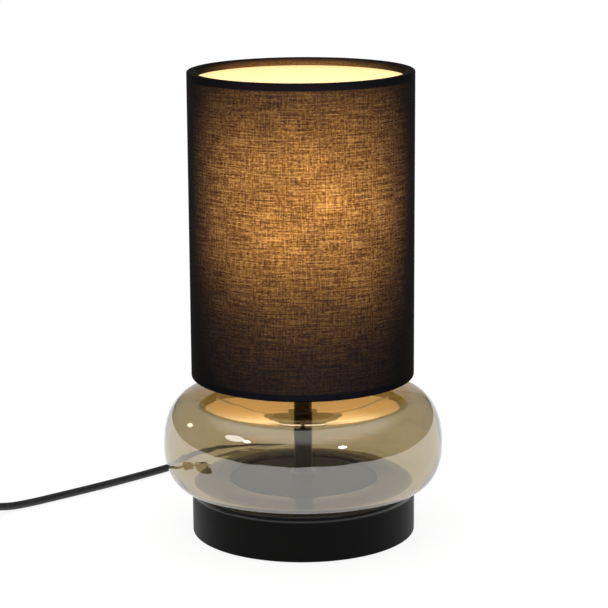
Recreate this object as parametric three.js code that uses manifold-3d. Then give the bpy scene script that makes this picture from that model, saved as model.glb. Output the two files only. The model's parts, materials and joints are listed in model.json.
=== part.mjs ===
// Table lamp: a black drum base, a squashed amber glass body round a black stem, a fabric cylinder shade
// on a screw lampholder, and a lead with a rocker switch, put away in a coil with its plug on top.
// Millimetres, +Z up, the front towards -Y, the origin at the middle of the underside.
import * as THREE from "three";
import { mergeVertices } from "three/addons/utils/BufferGeometryUtils.js";
import Module from "manifold-3d";

// Clearances
const GAP = 0.3; // between pieces that rest on each other
const THIN_GAP = 0.1; // on each side of a soft gasket
const RUNNING_GAP = 0.4; // round a shaft, thread or cap that turns or slides
const CUT_OVERRUN = 2; // how far a cutter runs past a face
const WELD_DISTANCE = 0.0005;

// Base
const BASE_R = 75.5;
const BASE_TOP = 33.2;
const BASE_SHEET = 1.5;
const BASE_LIFT = 0.8; // height of the drum's lower rim over the table
const BASE_EDGE_R = 5.2;
const BOSS_INSET = 28; // from the drum's side to the raised disc that centres the glass
const BOSS_RISE = 2.5;
const PAD_T = 1.5;
const PAD_INSET = 1.2;
const COVER_T = 1.2;
const BALLAST_T = 9;
const BALLAST_INSET = 8;
const BALLAST_HUB_R = 20;
const WASHER_R = 13;
const WASHER_T = 1.5;
const NUT_FLATS = 14;
const NUT_T = 3;
const ROD_TAIL = 1.2; // threaded rod below the nut

// Rod, stem and what clamps the glass
const ROD_R = 4.9;
const ROD_BORE_R = 3.6;
const STEM_R = 6;
const COLLAR_R = 9;
const COLLAR_H = 4;
const COLLAR_EDGE = 0.8;
const GASKET_T = 0.5;
const TOP_GASKET_R = 11;
const TOP_GASKET_T = 0.8;
const CLAMP_WASHER_R = 12.5;
const CLAMP_WASHER_T = 1.2;
const NECK_L = 10.6;

// Glass body
const GLASS_R = 94.4;
const GLASS_WALL = 3;
const GLASS_BELLY_RISE = 26.7; // from the foot to the widest ring
const GLASS_SHOULDER_RISE = 34.9; // from the widest ring to the seat round the hole
const GLASS_DISH_SHARE = 0.05; // rise over reach, outwards from the seat
const GLASS_LEAN_SHARE = 0.13; // fall over reach, where the top bends into the shoulder
const GLASS_TOP_EDGE_R = 75; // where the top bends into the shoulder
const GLASS_TOP_FLAT_R = 14;
const GLASS_FOOT_REACH = 2.7; // of the glass's foot past the drum
const GLASS_MOUTH_CLEARANCE = 2.7; // between the boss and the glass's lower mouth
const GLASS_HOLE_CLEARANCE = 1.2;
const SHOULDER_POWER = 2.29;
const BELLY_POWER = 2.1;
const DISH_POWER = 3.5;

// Lampholder
const NOZZLE_R = 9.8;
const NOZZLE_H = 8.5;
const HOLDER_WALL = 1.6;
const FLARE_H = 2.2;
const FLANGE_R = 21.3;
const FLANGE_T = 2.3;
const SLEEVE_R = 19.8;
const SLEEVE_WALL = 1.7;
const SLEEVE_H = 36;
const SLEEVE_LIP_H = 2;
const THREAD_PITCH = 4;
const THREAD_DEPTH = 0.7;
const CORE_R = 16.4;
const CORE_H = 8.5;
const SHELL_WALL = 0.5;
const SHELL_H = 21;
const CONTACT_T = 0.8;
const CONTACT_L = 13;
const CONTACT_W = 5;

// Shade
const SHADE_R = 75;
const SHADE_H = 205.2;
const CARRIER_DROP = 13.4; // from the hub down to the shade's lower edge
const FABRIC_T = 0.8;
const LINING_T = 0.5;
const WIRE_R = 1.5;
const HEM_TAIL = 0.9; // fabric folded in past the wire
const HUB_T = 1.5;
const HUB_RIM = 8;
const ARM_R = 1.4;
const RING_T = 6;
const RING_RIM = 6;
const RING_GRIP = 0.7;

// Bulb
const BULB_H = 78;
const GLOBE_R = 22.5;
const GLOBE_WALL = 1;
const CAP_R = 13.2;
const CAP_WALL = 0.6;
const CAP_H = 23;
const CAP_THREAD_PITCH = 3.6;
const CAP_THREAD_DEPTH = 0.8;
const INSULATOR_H = 2.4;
const TIP_R = 4.6;
const TIP_H = 1.2;

// Lead
const CORD_R = 2.7;
const EXIT_Z = 9;
const RELIEF_FLANGE_R = 5.6;
const RELIEF_FLANGE_T = 2;
const RELIEF_NECK_R = 4.1;
const RELIEF_L = 24;
const RELIEF_TIP_R = 3.3;
const RELIEF_RIB = 0.6;
const WIRE_CORE_R = 1.1;
const LEAD_IN = 40; // cord between the switch and the coil

// Coil
const COIL_INNER_R = 22;
const COIL_PITCH = 5.86;
const COIL_LIFT = 1; // under the lowest turns, where the tie passes
const TIE_T = 0.6;
const TIE_W = 8;
const EXIT_BEND_R = 22;

// Switch
const SWITCH_L = 60;
const SWITCH_W = 22;
const SWITCH_H = 14.5;
const SWITCH_CORNER_R = 9;
const SWITCH_BEVEL = 1.8;
const SWITCH_WALL = 1.6;
const ROCKER_L = 18;
const ROCKER_W = 8.6;
const ROCKER_MID_H = 3.4;
const ROCKER_DEPTH = 2.6;
const PIVOT_DROP = 4.1; // from the switch's top face to the rocker's pin
const PIN_R = 1.1;
const EAR_T = 1.6;
const SCREW_R = 1.2;
const SCREW_HEAD_R = 2.4;
const SCREW_HEAD_H = 1.5;
const SCREW_SINK = 0.4;
const SCREW_INSET = 7.5; // from the switch's end to the screw
const POST_R = 3.4;
const TERMINAL_L = 7;
const TERMINAL_W = 4;
const TERMINAL_H = 3.6;

// Plug
const PLUG_L = 35.5;
const PLUG_W = 26;
const PLUG_T = 13.7;
const PLUG_BEVEL = 2.2;
const PLUG_REAR_W = 12;
const PLUG_RELIEF_L = 16;
const PLUG_PIN_L = 19;
const PLUG_PIN_R = 2;
const PLUG_PIN_SPACING = 18.6;
const PLUG_SLEEVE_L = 10;
const PLUG_SLEEVE_T = 0.45;

// Counts, angles and shares
const FULL_TURN = 2 * Math.PI;
const QUARTER_TURN = Math.PI / 2;
const LARGE_SIDES = 48;
const MEDIUM_SIDES = 20;
const SMALL_SIDES = 12;
const CORD_SIDES = 8;
const WIRE_SIDES = 5;
const COIL_SIDES = 6;
const STEPS_PER_TURN = 24;
const TURNS_PER_LAYER = 3 + 5 / 12;
const EDGE_STEPS = 5;
const SHOULDER_STEPS = 8;
const DISH_STEPS = 5;
const BELLY_STEPS = 5;
const GLOBE_STEPS = 7;
const LEAD_STEPS = 44;
const INNER_LEAD_STEPS = 26;
const LEAD_IN_STEPS = 8;
const HOLDER_WIRE_STEPS = 6;
const BEND_STEPS = 8;
const CORNER_SEGMENTS = 4;
const BEVEL_SEGMENTS = 2;
const TIE_SEGMENTS = 3;
const NUT_SIDES = 6;
const BEND_CORNER_SHARE = 0.29; // where a round bend passes its corner
const CLIMB_TURNS = 1 / 4; // the turning in which the coil climbs half a layer change, or its last layer
const ROCKER_FLAT_SHARE = 1 / 3; // of the rocker's length, from its middle to its lower corner
const ARM_COUNT = 3;
const FIRST_ARM = Math.PI / 6;
const GRIP_COUNT = 18;
const HOLDER_THREADS = 4;
const CAP_THREADS = 4;
const RELIEF_RIBS = 5;
const ROCKER_TILT = THREE.MathUtils.degToRad(8);
const TIE_TURN = THREE.MathUtils.degToRad(170);

// The lead's route on the table behind the lamp, from the strain relief to the switch, chosen by hand
const LEAD_ROUTE = [
  [0, 102.1, 9], [0, 108.5, 8.9], [-0.6, 117, 6.9], [-3.5, 128, 4.2], [-10, 140, 2.9], [-21, 150.5, 2.8],
  [-36, 157.5, 2.8], [-53, 160, 2.8], [-69, 157.5, 2.8], [-82, 150.5, 2.8], [-92.5, 141, 2.8],
  [-102, 130.6, 2.8], [-113, 119.6, 2.8], [-127, 106.2, 2.8], [-143, 91.4, 2.8], [-160, 76.6, 2.8],
  [-177, 62.4, 2.8], [-193, 49.2, 2.9], [-206, 38.5, 3.8], [-217, 29.5, 6.2], [-224, 23.8, 7.2],
];

// Heights of the stack, from the table up
const coverBottom = PAD_T + GAP;
const innerWallR = BASE_R - BASE_SHEET;
const bossR = BASE_R - BOSS_INSET;
const glassFootR = BASE_R + GLASS_FOOT_REACH;
const bossTop = BASE_TOP + BOSS_RISE;
const ballastTop = BASE_TOP - BASE_SHEET - GAP;
const ballastBottom = ballastTop - BALLAST_T;
const washerBottom = ballastBottom - GAP - WASHER_T;
const nutBottom = washerBottom - GAP - NUT_T;
const rodBottom = nutBottom - ROD_TAIL;
const rodHoleR = ROD_R + RUNNING_GAP;
const collarBottom = bossTop + GAP;
const stemBottom = collarBottom + COLLAR_H + GAP;
const glassBottom = BASE_TOP + GASKET_T + 2 * THIN_GAP;
const glassBelly = glassBottom + GLASS_BELLY_RISE;
const glassTop = glassBelly + GLASS_SHOULDER_RISE;
const glassMouthR = bossR + GLASS_MOUTH_CLEARANCE;
const clampBottom = glassTop - GLASS_WALL - GAP - CLAMP_WASHER_T;
const stemTop = clampBottom - GAP;
const topGasketBottom = glassTop + THIN_GAP;
const capWasherBottom = topGasketBottom + TOP_GASKET_T + THIN_GAP;
const neckBottom = capWasherBottom + CLAMP_WASHER_T + GAP;
const holderBottom = neckBottom + NECK_L + GAP;
const flangeBottom = holderBottom + NOZZLE_H + FLARE_H;
const flangeTop = flangeBottom + FLANGE_T;
const holderFloor = holderBottom + NOZZLE_H + HOLDER_WALL;
const rodTop = holderFloor - HOLDER_WALL;
const sleeveBottom = flangeTop + GAP;
const coreBottom = holderFloor + FLARE_H + GAP;
const contactBottom = coreBottom + CORE_H + GAP;
const shellBottom = contactBottom;
const bulbBottom = contactBottom + CONTACT_T + GAP;
const capBottom = bulbBottom + TIP_H + GAP + INSULATOR_H + GAP;
const capTop = capBottom + CAP_H;
const shellBoreR = CAP_R + RUNNING_GAP;
const hubBottom = flangeTop + GAP;
const ringBottom = hubBottom + HUB_T + GAP;
const shadeBottom = hubBottom - CARRIER_DROP;
const shadeTop = shadeBottom + SHADE_H;
const wireRingR = SHADE_R - FABRIC_T - GAP - WIRE_R;
const hemH = FABRIC_T + 2 * WIRE_R + 2 * GAP + HEM_TAIL;
const hemR = wireRingR - WIRE_R - GAP - FABRIC_T;

const wasm = await Module();
wasm.setup();

const lamp = new THREE.Group();

// A geometry with equal corners merged and the flat triangles dropped.
function weld(geometry) {
  const bare = geometry.clone();
  bare.deleteAttribute("normal");
  bare.deleteAttribute("uv");
  const merged = mergeVertices(bare, WELD_DISTANCE);
  const corners = Array.from(merged.index.array);
  const kept = [];
  for (let i = 0; i < corners.length; i += 3) {
    const [a, b, c] = corners.slice(i, i + 3);
    if (a !== b && b !== c && c !== a) kept.push(a, b, c);
  }
  merged.setIndex(kept);
  return merged;
}

// A geometry as a solid that can be cut and joined.
function solid(geometry) {
  const merged = weld(geometry);
  return new wasm.Manifold(new wasm.Mesh({
    numProp: 3,
    vertProperties: new Float32Array(merged.attributes.position.array),
    triVerts: new Uint32Array(merged.index.array),
  }));
}

// A solid as a geometry again.
function geometryOf(made) {
  const mesh = made.getMesh();
  const geometry = new THREE.BufferGeometry();
  geometry.setAttribute("position", new THREE.BufferAttribute(mesh.vertProperties, 3));
  geometry.setIndex(new THREE.BufferAttribute(mesh.triVerts, 1));
  geometry.computeVertexNormals();
  return geometry;
}

// A profile of [radius, height] points, listed counterclockwise, turned about Z.
function turned(profile, sides) {
  const points = profile.map(([r, z]) => new THREE.Vector2(r, z));
  const onAxis = profile[0][0] === 0 && profile.at(-1)[0] === 0;
  if (!onAxis) points.push(points[0].clone());
  return weld(new THREE.LatheGeometry(points, sides)).rotateX(QUARTER_TURN);
}

// A flat ring or tube between two radii, standing on z = 0.
const tubePiece = (outerR, innerR, height, sides) =>
  turned([[outerR, 0], [outerR, height], [innerR, height], [innerR, 0]], sides);

const disc = (radius, height, sides) => turned([[0, 0], [radius, 0], [radius, height], [0, height]], sides);

// A box with its lowest corner and its size given.
const boxAt = ([x, y, z], [length, width, height]) =>
  new THREE.BoxGeometry(length, width, height).translate(x + length / 2, y + width / 2, z + height / 2);

// A round bar along +X, +Y or +Z from a start point.
function barAt(axis, [x, y, z], radius, length, sides) {
  const bar = disc(radius, length, sides);
  if (axis === "x") bar.rotateY(QUARTER_TURN);
  if (axis === "y") bar.rotateX(-QUARTER_TURN);
  return bar.translate(x, y, z);
}

// Points of a quarter superellipse from (r0, z0) on its side to (r1, z1) on its flat, both ends included.
function shoulder([r0, z0], [r1, z1], power, steps) {
  return Array.from({ length: steps + 1 }, (_, i) => {
    const angle = (QUARTER_TURN * i) / steps;
    const side = Math.cos(angle) ** (2 / power);
    const rise = Math.sin(angle) ** (2 / power);
    return [r1 + (r0 - r1) * side, z0 + (z1 - z0) * rise];
  });
}

const curveThrough = (points) =>
  new THREE.CatmullRomCurve3(points.map((p) => new THREE.Vector3(...p)), false, "centripetal");

// A round section carried along points.
function cordAlong(points, radius, sides, steps) {
  const path = curveThrough(points);
  const section = new THREE.Shape(
    Array.from({ length: sides }, (_, i) => {
      const angle = (FULL_TURN * (i + 1 / 2)) / sides;
      return new THREE.Vector2(radius * Math.cos(angle), radius * Math.sin(angle));
    }),
  );
  return new THREE.ExtrudeGeometry(section, { steps, bevelEnabled: false, extrudePath: path });
}

const looks = {
  satinBlack: [0x1d1d1d, 0.42, 0.3],
  stemBlack: [0x161616, 0.35, 0.3],
  castIron: [0x55555a, 0.7, 0.6],
  fibreboard: [0x3b2f27, 0.9, 0],
  foam: [0x151515, 0.95, 0],
  zinc: [0xb9bbbd, 0.35, 0.9],
  brass: [0xc9a24a, 0.3, 0.9],
  clearSilicone: [0xdcdcd6, 0.4, 0],
  amberGlass: [0xb89a6a, 0.05, 0],
  holderBlack: [0x1b1a19, 0.5, 0],
  holderCream: [0xe8e2d2, 0.5, 0],
  fabric: [0x25221f, 0.95, 0],
  lining: [0xfff3cf, 0.7, 0],
  wire: [0xe6e2d8, 0.4, 0.4],
  opal: [0xfff6e2, 0.3, 0],
  nickel: [0xc8c6c0, 0.25, 0.95],
  cord: [0x141414, 0.5, 0],
  brown: [0x5a3218, 0.5, 0],
  blue: [0x2450a0, 0.5, 0],
  switchBlack: [0x191919, 0.45, 0],
};

// Adds one named piece to a group, at a height.
function add(name, geometry, look, z = 0, group = lamp) {
  const [color, roughness, metalness] = looks[look];
  const mesh = new THREE.Mesh(geometry, new THREE.MeshStandardMaterial({ color, roughness, metalness }));
  mesh.name = name;
  mesh.position.z = z;
  group.add(mesh);
  return mesh;
}

// Base

function baseShell() {
  const edge = (radius) => Array.from({ length: EDGE_STEPS + 1 }, (_, i) => {
    const angle = (QUARTER_TURN * i) / EDGE_STEPS;
    const centre = [BASE_R - BASE_EDGE_R, BASE_TOP - BASE_EDGE_R];
    return [centre[0] + radius * Math.cos(angle), centre[1] + radius * Math.sin(angle)];
  });
  const drum = solid(turned([
    [BASE_R, BASE_LIFT], ...edge(BASE_EDGE_R),
    [bossR, BASE_TOP], [bossR, bossTop], [rodHoleR, bossTop], [rodHoleR, bossTop - BASE_SHEET],
    [bossR - BASE_SHEET, bossTop - BASE_SHEET], [bossR - BASE_SHEET, BASE_TOP - BASE_SHEET],
    ...edge(BASE_EDGE_R - BASE_SHEET).reverse(), [innerWallR, BASE_LIFT],
  ], LARGE_SIDES));
  const start = [0, innerWallR - CUT_OVERRUN, EXIT_Z];
  const hole = barAt("y", start, RELIEF_NECK_R + GAP, BASE_SHEET + 2 * CUT_OVERRUN, MEDIUM_SIDES);
  return geometryOf(drum.subtract(solid(hole)));
}

function baseBallast() {
  const hubTop = BALLAST_T + BOSS_RISE;
  const rimR = innerWallR - BALLAST_INSET;
  return turned([
    [rimR, 0], [rimR, BALLAST_T], [BALLAST_HUB_R, BALLAST_T], [BALLAST_HUB_R, hubTop],
    [rodHoleR, hubTop], [rodHoleR, 0],
  ], MEDIUM_SIDES);
}

function hexNut(flats, boreR, height) {
  const outline = new THREE.Shape(Array.from({ length: NUT_SIDES }, (_, i) => {
    const angle = (FULL_TURN * i) / NUT_SIDES;
    const r = flats / Math.sqrt(3);
    return new THREE.Vector2(r * Math.cos(angle), r * Math.sin(angle));
  }));
  outline.holes.push(new THREE.Path().absarc(0, 0, boreR, 0, FULL_TURN, true));
  return new THREE.ExtrudeGeometry(outline, {
    depth: height, bevelEnabled: false, curveSegments: SMALL_SIDES,
  });
}

add("foot_pad", disc(innerWallR - PAD_INSET, PAD_T, LARGE_SIDES), "foam");
add("base_cover", disc(innerWallR - GAP, COVER_T, LARGE_SIDES), "fibreboard", coverBottom);
add("base_shell", baseShell(), "satinBlack");
add("base_ballast", baseBallast(), "castIron", ballastBottom);
add("base_washer", tubePiece(WASHER_R, rodHoleR, WASHER_T, MEDIUM_SIDES), "zinc", washerBottom);
add("base_nut", hexNut(NUT_FLATS, rodHoleR, NUT_T), "zinc", nutBottom);
add("threaded_rod", tubePiece(ROD_R, ROD_BORE_R, rodTop - rodBottom, SMALL_SIDES), "zinc", rodBottom);

// Stem and glass

function stemCollar() {
  return turned([
    [COLLAR_R, 0], [COLLAR_R, COLLAR_H - COLLAR_EDGE], [COLLAR_R - COLLAR_EDGE, COLLAR_H],
    [rodHoleR, COLLAR_H], [rodHoleR, 0],
  ], MEDIUM_SIDES);
}

// Height of the dished top at a radius: the slope turns from the dish's rise to the lean's fall.
function glassTopAt(r, seat) {
  const turn = (at) => (at / GLASS_TOP_EDGE_R) ** (DISH_POWER + 1) * GLASS_TOP_EDGE_R / (DISH_POWER + 1);
  const bend = (GLASS_DISH_SHARE + GLASS_LEAN_SHARE) * (turn(r) - turn(GLASS_TOP_FLAT_R));
  return seat + GLASS_DISH_SHARE * (r - GLASS_TOP_FLAT_R) - bend;
}

// Half profile from the widest ring over the shoulder, which leans, and over the dished top to the seat.
function glassShoulder(sideR, seat) {
  const level = glassTopAt(GLASS_TOP_EDGE_R, seat) - GLASS_LEAN_SHARE * (sideR - GLASS_TOP_EDGE_R);
  const bend = shoulder([sideR, GLASS_BELLY_RISE], [GLASS_TOP_EDGE_R, level], SHOULDER_POWER, SHOULDER_STEPS);
  const side = bend.map(([r, z]) => [r, z + GLASS_LEAN_SHARE * (sideR - r)]);
  const top = Array.from({ length: DISH_STEPS }, (_, i) => {
    const r = GLASS_TOP_EDGE_R + (GLASS_TOP_FLAT_R - GLASS_TOP_EDGE_R) * (i + 1) / DISH_STEPS;
    return [r, glassTopAt(r, seat)];
  });
  return [...side, ...top];
}

function glassBody() {
  const belly = [GLASS_R, GLASS_BELLY_RISE];
  const top = GLASS_BELLY_RISE + GLASS_SHOULDER_RISE;
  const holeR = STEM_R + GLASS_HOLE_CLEARANCE;
  const outerFoot = shoulder(belly, [glassFootR, 0], BELLY_POWER, BELLY_STEPS).reverse();
  const outerTop = glassShoulder(GLASS_R, top).slice(1);
  const innerBelly = [GLASS_R - GLASS_WALL, GLASS_BELLY_RISE];
  const innerTop = glassShoulder(GLASS_R - GLASS_WALL, top - GLASS_WALL);
  const innerFootR = glassFootR - GLASS_WALL / 2;
  const innerFoot = shoulder(innerBelly, [innerFootR, GLASS_WALL], BELLY_POWER, BELLY_STEPS).slice(1);
  return turned([
    ...outerFoot, ...outerTop, [holeR, top], [holeR, top - GLASS_WALL],
    ...innerTop.reverse(), ...innerFoot, [glassMouthR, GLASS_WALL], [glassMouthR, 0],
  ], LARGE_SIDES);
}

const clampWasher = tubePiece(CLAMP_WASHER_R, rodHoleR, CLAMP_WASHER_T, MEDIUM_SIDES);
const gasketR = BASE_R - BASE_EDGE_R - GAP;
const gasket = tubePiece(gasketR, glassMouthR, GASKET_T, LARGE_SIDES);
add("glass_gasket", gasket, "clearSilicone", BASE_TOP + THIN_GAP);
add("stem_collar", stemCollar(), "stemBlack", collarBottom);
add("stem_tube", tubePiece(STEM_R, rodHoleR, stemTop - stemBottom, MEDIUM_SIDES), "stemBlack", stemBottom);
add("glass_support_washer", clampWasher.clone(), "stemBlack", clampBottom);
add("glass_body", glassBody(), "amberGlass", glassBottom);
const topGasket = tubePiece(TOP_GASKET_R, rodHoleR, TOP_GASKET_T, MEDIUM_SIDES);
add("glass_top_gasket", topGasket, "clearSilicone", topGasketBottom);
add("glass_cap_washer", clampWasher.clone(), "stemBlack", capWasherBottom);
add("neck_tube", tubePiece(STEM_R, rodHoleR, NECK_L, MEDIUM_SIDES), "stemBlack", neckBottom);

// Lampholder

function holderCap() {
  const flare = NOZZLE_H + FLARE_H;
  const innerR = FLANGE_R - HOLDER_WALL;
  return turned([
    [NOZZLE_R, 0], [NOZZLE_R, NOZZLE_H], [FLANGE_R, flare], [FLANGE_R, flare + FLANGE_T],
    [innerR, flare + FLANGE_T], [innerR, flare + HOLDER_WALL], [NOZZLE_R, NOZZLE_H + HOLDER_WALL],
    [rodHoleR, NOZZLE_H + HOLDER_WALL], [rodHoleR, 0],
  ], MEDIUM_SIDES);
}

// A profile's ridges up a wall, from one height to another.
function ridges(radius, depth, bottom, pitch, count) {
  return Array.from({ length: count }, (_, i) => {
    const z = bottom + pitch * i;
    return [[radius, z], [radius - depth, z + pitch / 2]];
  }).flat();
}

function holderSleeve() {
  const mouthR = shellBoreR + SHELL_WALL + GAP;
  const boreR = SLEEVE_R - THREAD_DEPTH - SLEEVE_WALL;
  const threadBottom = SLEEVE_H - SLEEVE_LIP_H - THREAD_PITCH * HOLDER_THREADS;
  return turned([
    [SLEEVE_R, 0], ...ridges(SLEEVE_R, THREAD_DEPTH, threadBottom, THREAD_PITCH, HOLDER_THREADS),
    [SLEEVE_R, SLEEVE_H], [mouthR, SLEEVE_H], [mouthR, SLEEVE_H - SLEEVE_LIP_H],
    [boreR, SLEEVE_H - SLEEVE_LIP_H], [boreR, 0],
  ], MEDIUM_SIDES);
}

const shell = tubePiece(shellBoreR + SHELL_WALL, shellBoreR, SHELL_H, MEDIUM_SIDES);
const contact = boxAt([-CONTACT_L / 2, -CONTACT_W / 2, 0], [CONTACT_L, CONTACT_W, CONTACT_T]);
add("lampholder_cap", holderCap(), "holderBlack", holderBottom);
add("lampholder_core", disc(CORE_R, CORE_H, MEDIUM_SIDES), "holderCream", coreBottom);
add("lampholder_contact", contact, "brass", contactBottom);
add("lampholder_screw_shell", shell, "brass", shellBottom);
add("lampholder_sleeve", holderSleeve(), "holderBlack", sleeveBottom);

// Bulb

function bulbGlobe() {
  const neckH = BULB_H - (capTop - bulbBottom) - GLOBE_R + GAP;
  const outer = [[CAP_R - GAP, 0]];
  const inner = [[CAP_R - GAP - GLOBE_WALL, 0]];
  const first = Math.asin((CAP_R + GLOBE_WALL) / GLOBE_R);
  for (let i = 0; i <= GLOBE_STEPS; i += 1) {
    const angle = Math.PI - first - ((Math.PI - first) * i) / GLOBE_STEPS;
    const last = i === GLOBE_STEPS;
    for (const [side, r] of [[outer, GLOBE_R], [inner, GLOBE_R - GLOBE_WALL]])
      side.push([last ? 0 : r * Math.sin(angle), neckH + r * Math.cos(angle)]);
  }
  return turned([...inner.reverse(), ...outer], MEDIUM_SIDES);
}

function bulbCap() {
  const innerR = CAP_R - CAP_THREAD_DEPTH - CAP_WALL;
  return turned([
    [0, 0], [CAP_R - CAP_THREAD_DEPTH, 0],
    ...ridges(CAP_R, CAP_THREAD_DEPTH, CAP_THREAD_PITCH, CAP_THREAD_PITCH, CAP_THREADS), [CAP_R, CAP_H],
    [innerR, CAP_H], [innerR, CAP_WALL], [0, CAP_WALL],
  ], MEDIUM_SIDES);
}

const insulatorTop = CAP_R - CAP_THREAD_DEPTH;
const insulator = turned([[0, 0], [TIP_R, 0], [insulatorTop, INSULATOR_H], [0, INSULATOR_H]], MEDIUM_SIDES);
add("bulb_tip_contact", disc(TIP_R, TIP_H, SMALL_SIDES), "brass", bulbBottom);
add("bulb_insulator", insulator, "stemBlack", capBottom - GAP - INSULATOR_H);
add("bulb_screw_cap", bulbCap(), "nickel", capBottom);
add("bulb_globe", bulbGlobe(), "opal", capTop + GAP);

// Shade

// The fabric with its upper and lower edges folded in round the wire rings.
function shadeFabric() {
  const inR = SHADE_R - FABRIC_T;
  const tube = solid(turned([
    [SHADE_R, 0], [SHADE_R, SHADE_H], [hemR, SHADE_H], [hemR, SHADE_H - hemH],
    [hemR + FABRIC_T, SHADE_H - hemH], [hemR + FABRIC_T, SHADE_H - FABRIC_T], [inR, SHADE_H - FABRIC_T],
    [inR, FABRIC_T], [hemR + FABRIC_T, FABRIC_T], [hemR + FABRIC_T, hemH], [hemR, hemH], [hemR, 0],
  ], LARGE_SIDES));
  const notch = solid(boxAt(
    [hemR - CUT_OVERRUN, -ARM_R - GAP, FABRIC_T],
    [FABRIC_T + CUT_OVERRUN + WIRE_R, 2 * (ARM_R + GAP), hemH],
  ));
  const cut = armAngles().reduce((made, a) => made.subtract(turnedBy(notch, a)), tube);
  return geometryOf(cut);
}

const armAngles = () => Array.from({ length: ARM_COUNT }, (_, i) => FIRST_ARM + (FULL_TURN * i) / ARM_COUNT);
const turnedBy = (made, angle) => made.rotate([0, 0, THREE.MathUtils.radToDeg(angle)]);

function shadeCarrier() {
  const hubR = SLEEVE_R + RUNNING_GAP;
  const ringZ = FABRIC_T + GAP + WIRE_R;
  const ring = solid(new THREE.TorusGeometry(wireRingR, WIRE_R, WIRE_SIDES + 1, LARGE_SIDES));
  const hub = solid(tubePiece(hubR + HUB_RIM, hubR, HUB_T, MEDIUM_SIDES));
  const from = new THREE.Vector3(hubR + HUB_RIM - HUB_T / 2, 0, CARRIER_DROP + HUB_T / 2);
  const to = new THREE.Vector3(wireRingR, 0, ringZ);
  const bar = new THREE.CylinderGeometry(ARM_R, ARM_R, from.distanceTo(to), WIRE_SIDES + 1);
  const lean = new THREE.Quaternion().setFromUnitVectors(
    new THREE.Vector3(0, 1, 0), to.clone().sub(from).normalize(),
  );
  bar.applyQuaternion(lean).translate(...from.clone().add(to).multiplyScalar(1 / 2).toArray());
  const arm = solid(bar);
  const frame = ring.translate([0, 0, ringZ]).add(hub.translate([0, 0, CARRIER_DROP]));
  return geometryOf(armAngles().reduce((made, a) => made.add(turnedBy(arm, a)), frame));
}

function shadeRing() {
  const boreR = SLEEVE_R + RUNNING_GAP;
  const outline = new THREE.Shape(Array.from({ length: 2 * GRIP_COUNT }, (_, i) => {
    const angle = (FULL_TURN * i) / (2 * GRIP_COUNT);
    const r = boreR + RING_RIM - (i % 2 ? RING_GRIP : 0);
    return new THREE.Vector2(r * Math.cos(angle), r * Math.sin(angle));
  }));
  outline.holes.push(new THREE.Path().absarc(0, 0, boreR, 0, FULL_TURN, true));
  return new THREE.ExtrudeGeometry(outline, {
    depth: RING_T, bevelEnabled: false, curveSegments: MEDIUM_SIDES,
  });
}

const liningR = SHADE_R - FABRIC_T - GAP;
const liningH = SHADE_H - 2 * (FABRIC_T + 2 * WIRE_R + 2 * GAP);
const topRingZ = shadeTop - FABRIC_T - GAP - WIRE_R;
const topRing = new THREE.TorusGeometry(wireRingR, WIRE_R, WIRE_SIDES, LARGE_SIDES);
add("shade_carrier", shadeCarrier(), "wire", shadeBottom);
add("shade_top_ring", topRing, "wire", topRingZ);
const lining = tubePiece(liningR, liningR - LINING_T, liningH, LARGE_SIDES);
add("shade_lining", lining, "lining", shadeBottom + (SHADE_H - liningH) / 2);
add("shade_fabric", shadeFabric(), "fabric", shadeBottom);
add("shade_ring", shadeRing(), "holderBlack", ringBottom);

// Lead

const reliefStart = innerWallR - 2 * GAP - RELIEF_FLANGE_T;

// The tapered strain relief, along +Z from its inner flange to its tip.
function strainRelief() {
  const outer = BASE_R + GAP - reliefStart;
  const cone = outer + RELIEF_FLANGE_T;
  const ribs = Array.from({ length: RELIEF_RIBS }, (_, i) => {
    const step = RELIEF_L / RELIEF_RIBS;
    const r = RELIEF_NECK_R + ((RELIEF_TIP_R - RELIEF_NECK_R) * i) / RELIEF_RIBS;
    const z = cone + step * i;
    return [[r, z + step / 2], [r - RELIEF_RIB, z + step]];
  }).flat();
  const tip = ribs.at(-1);
  return turned([
    [0, 0], [RELIEF_FLANGE_R, 0], [RELIEF_FLANGE_R, RELIEF_FLANGE_T], [RELIEF_NECK_R, RELIEF_FLANGE_T],
    [RELIEF_NECK_R, outer], [RELIEF_FLANGE_R, outer], [RELIEF_FLANGE_R, cone], ...ribs, [0, tip[1]],
  ], SMALL_SIDES);
}

function innerLead() {
  const low = coverBottom + COVER_T + GAP + CORD_R;
  const bend = rodBottom - GAP - low;
  const top = rodTop - ROD_TAIL;
  return cordAlong([
    [0, reliefStart - GAP, EXIT_Z], [0, reliefStart - RELIEF_L, (EXIT_Z + low) / 2],
    [0, 2 * bend, low], [0, bend, low], [0, bend * BEND_CORNER_SHARE, low + bend * BEND_CORNER_SHARE],
    [0, 0, rodBottom], [0, 0, rodBottom + 2 * CORD_R], [0, 0, (rodBottom + top) / 2], [0, 0, top],
  ], CORD_R, CORD_SIDES, INNER_LEAD_STEPS);
}

function holderWire(side) {
  const start = rodTop - ROD_TAIL + GAP;
  const end = coreBottom - GAP;
  const spread = side * 2 * WIRE_CORE_R;
  return cordAlong([
    [side * (WIRE_CORE_R + GAP / 2), 0, start], [side * (WIRE_CORE_R + GAP), 0, rodTop],
    [spread, 0, (rodTop + end) / 2], [spread, 0, end - WIRE_CORE_R], [spread, 0, end],
  ], WIRE_CORE_R, WIRE_SIDES, HOLDER_WIRE_STEPS);
}

const relief = strainRelief().rotateX(-QUARTER_TURN).translate(0, reliefStart, 0);
add("cord_strain_relief", relief, "cord", EXIT_Z);
add("inner_lead", innerLead(), "cord");
add("live_wire", holderWire(-1), "brown");
add("neutral_wire", holderWire(1), "blue");
add("cord_run_lamp", cordAlong(LEAD_ROUTE, CORD_R, CORD_SIDES, LEAD_STEPS), "cord");

// Switch on the lead, turned to the lead's direction

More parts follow.
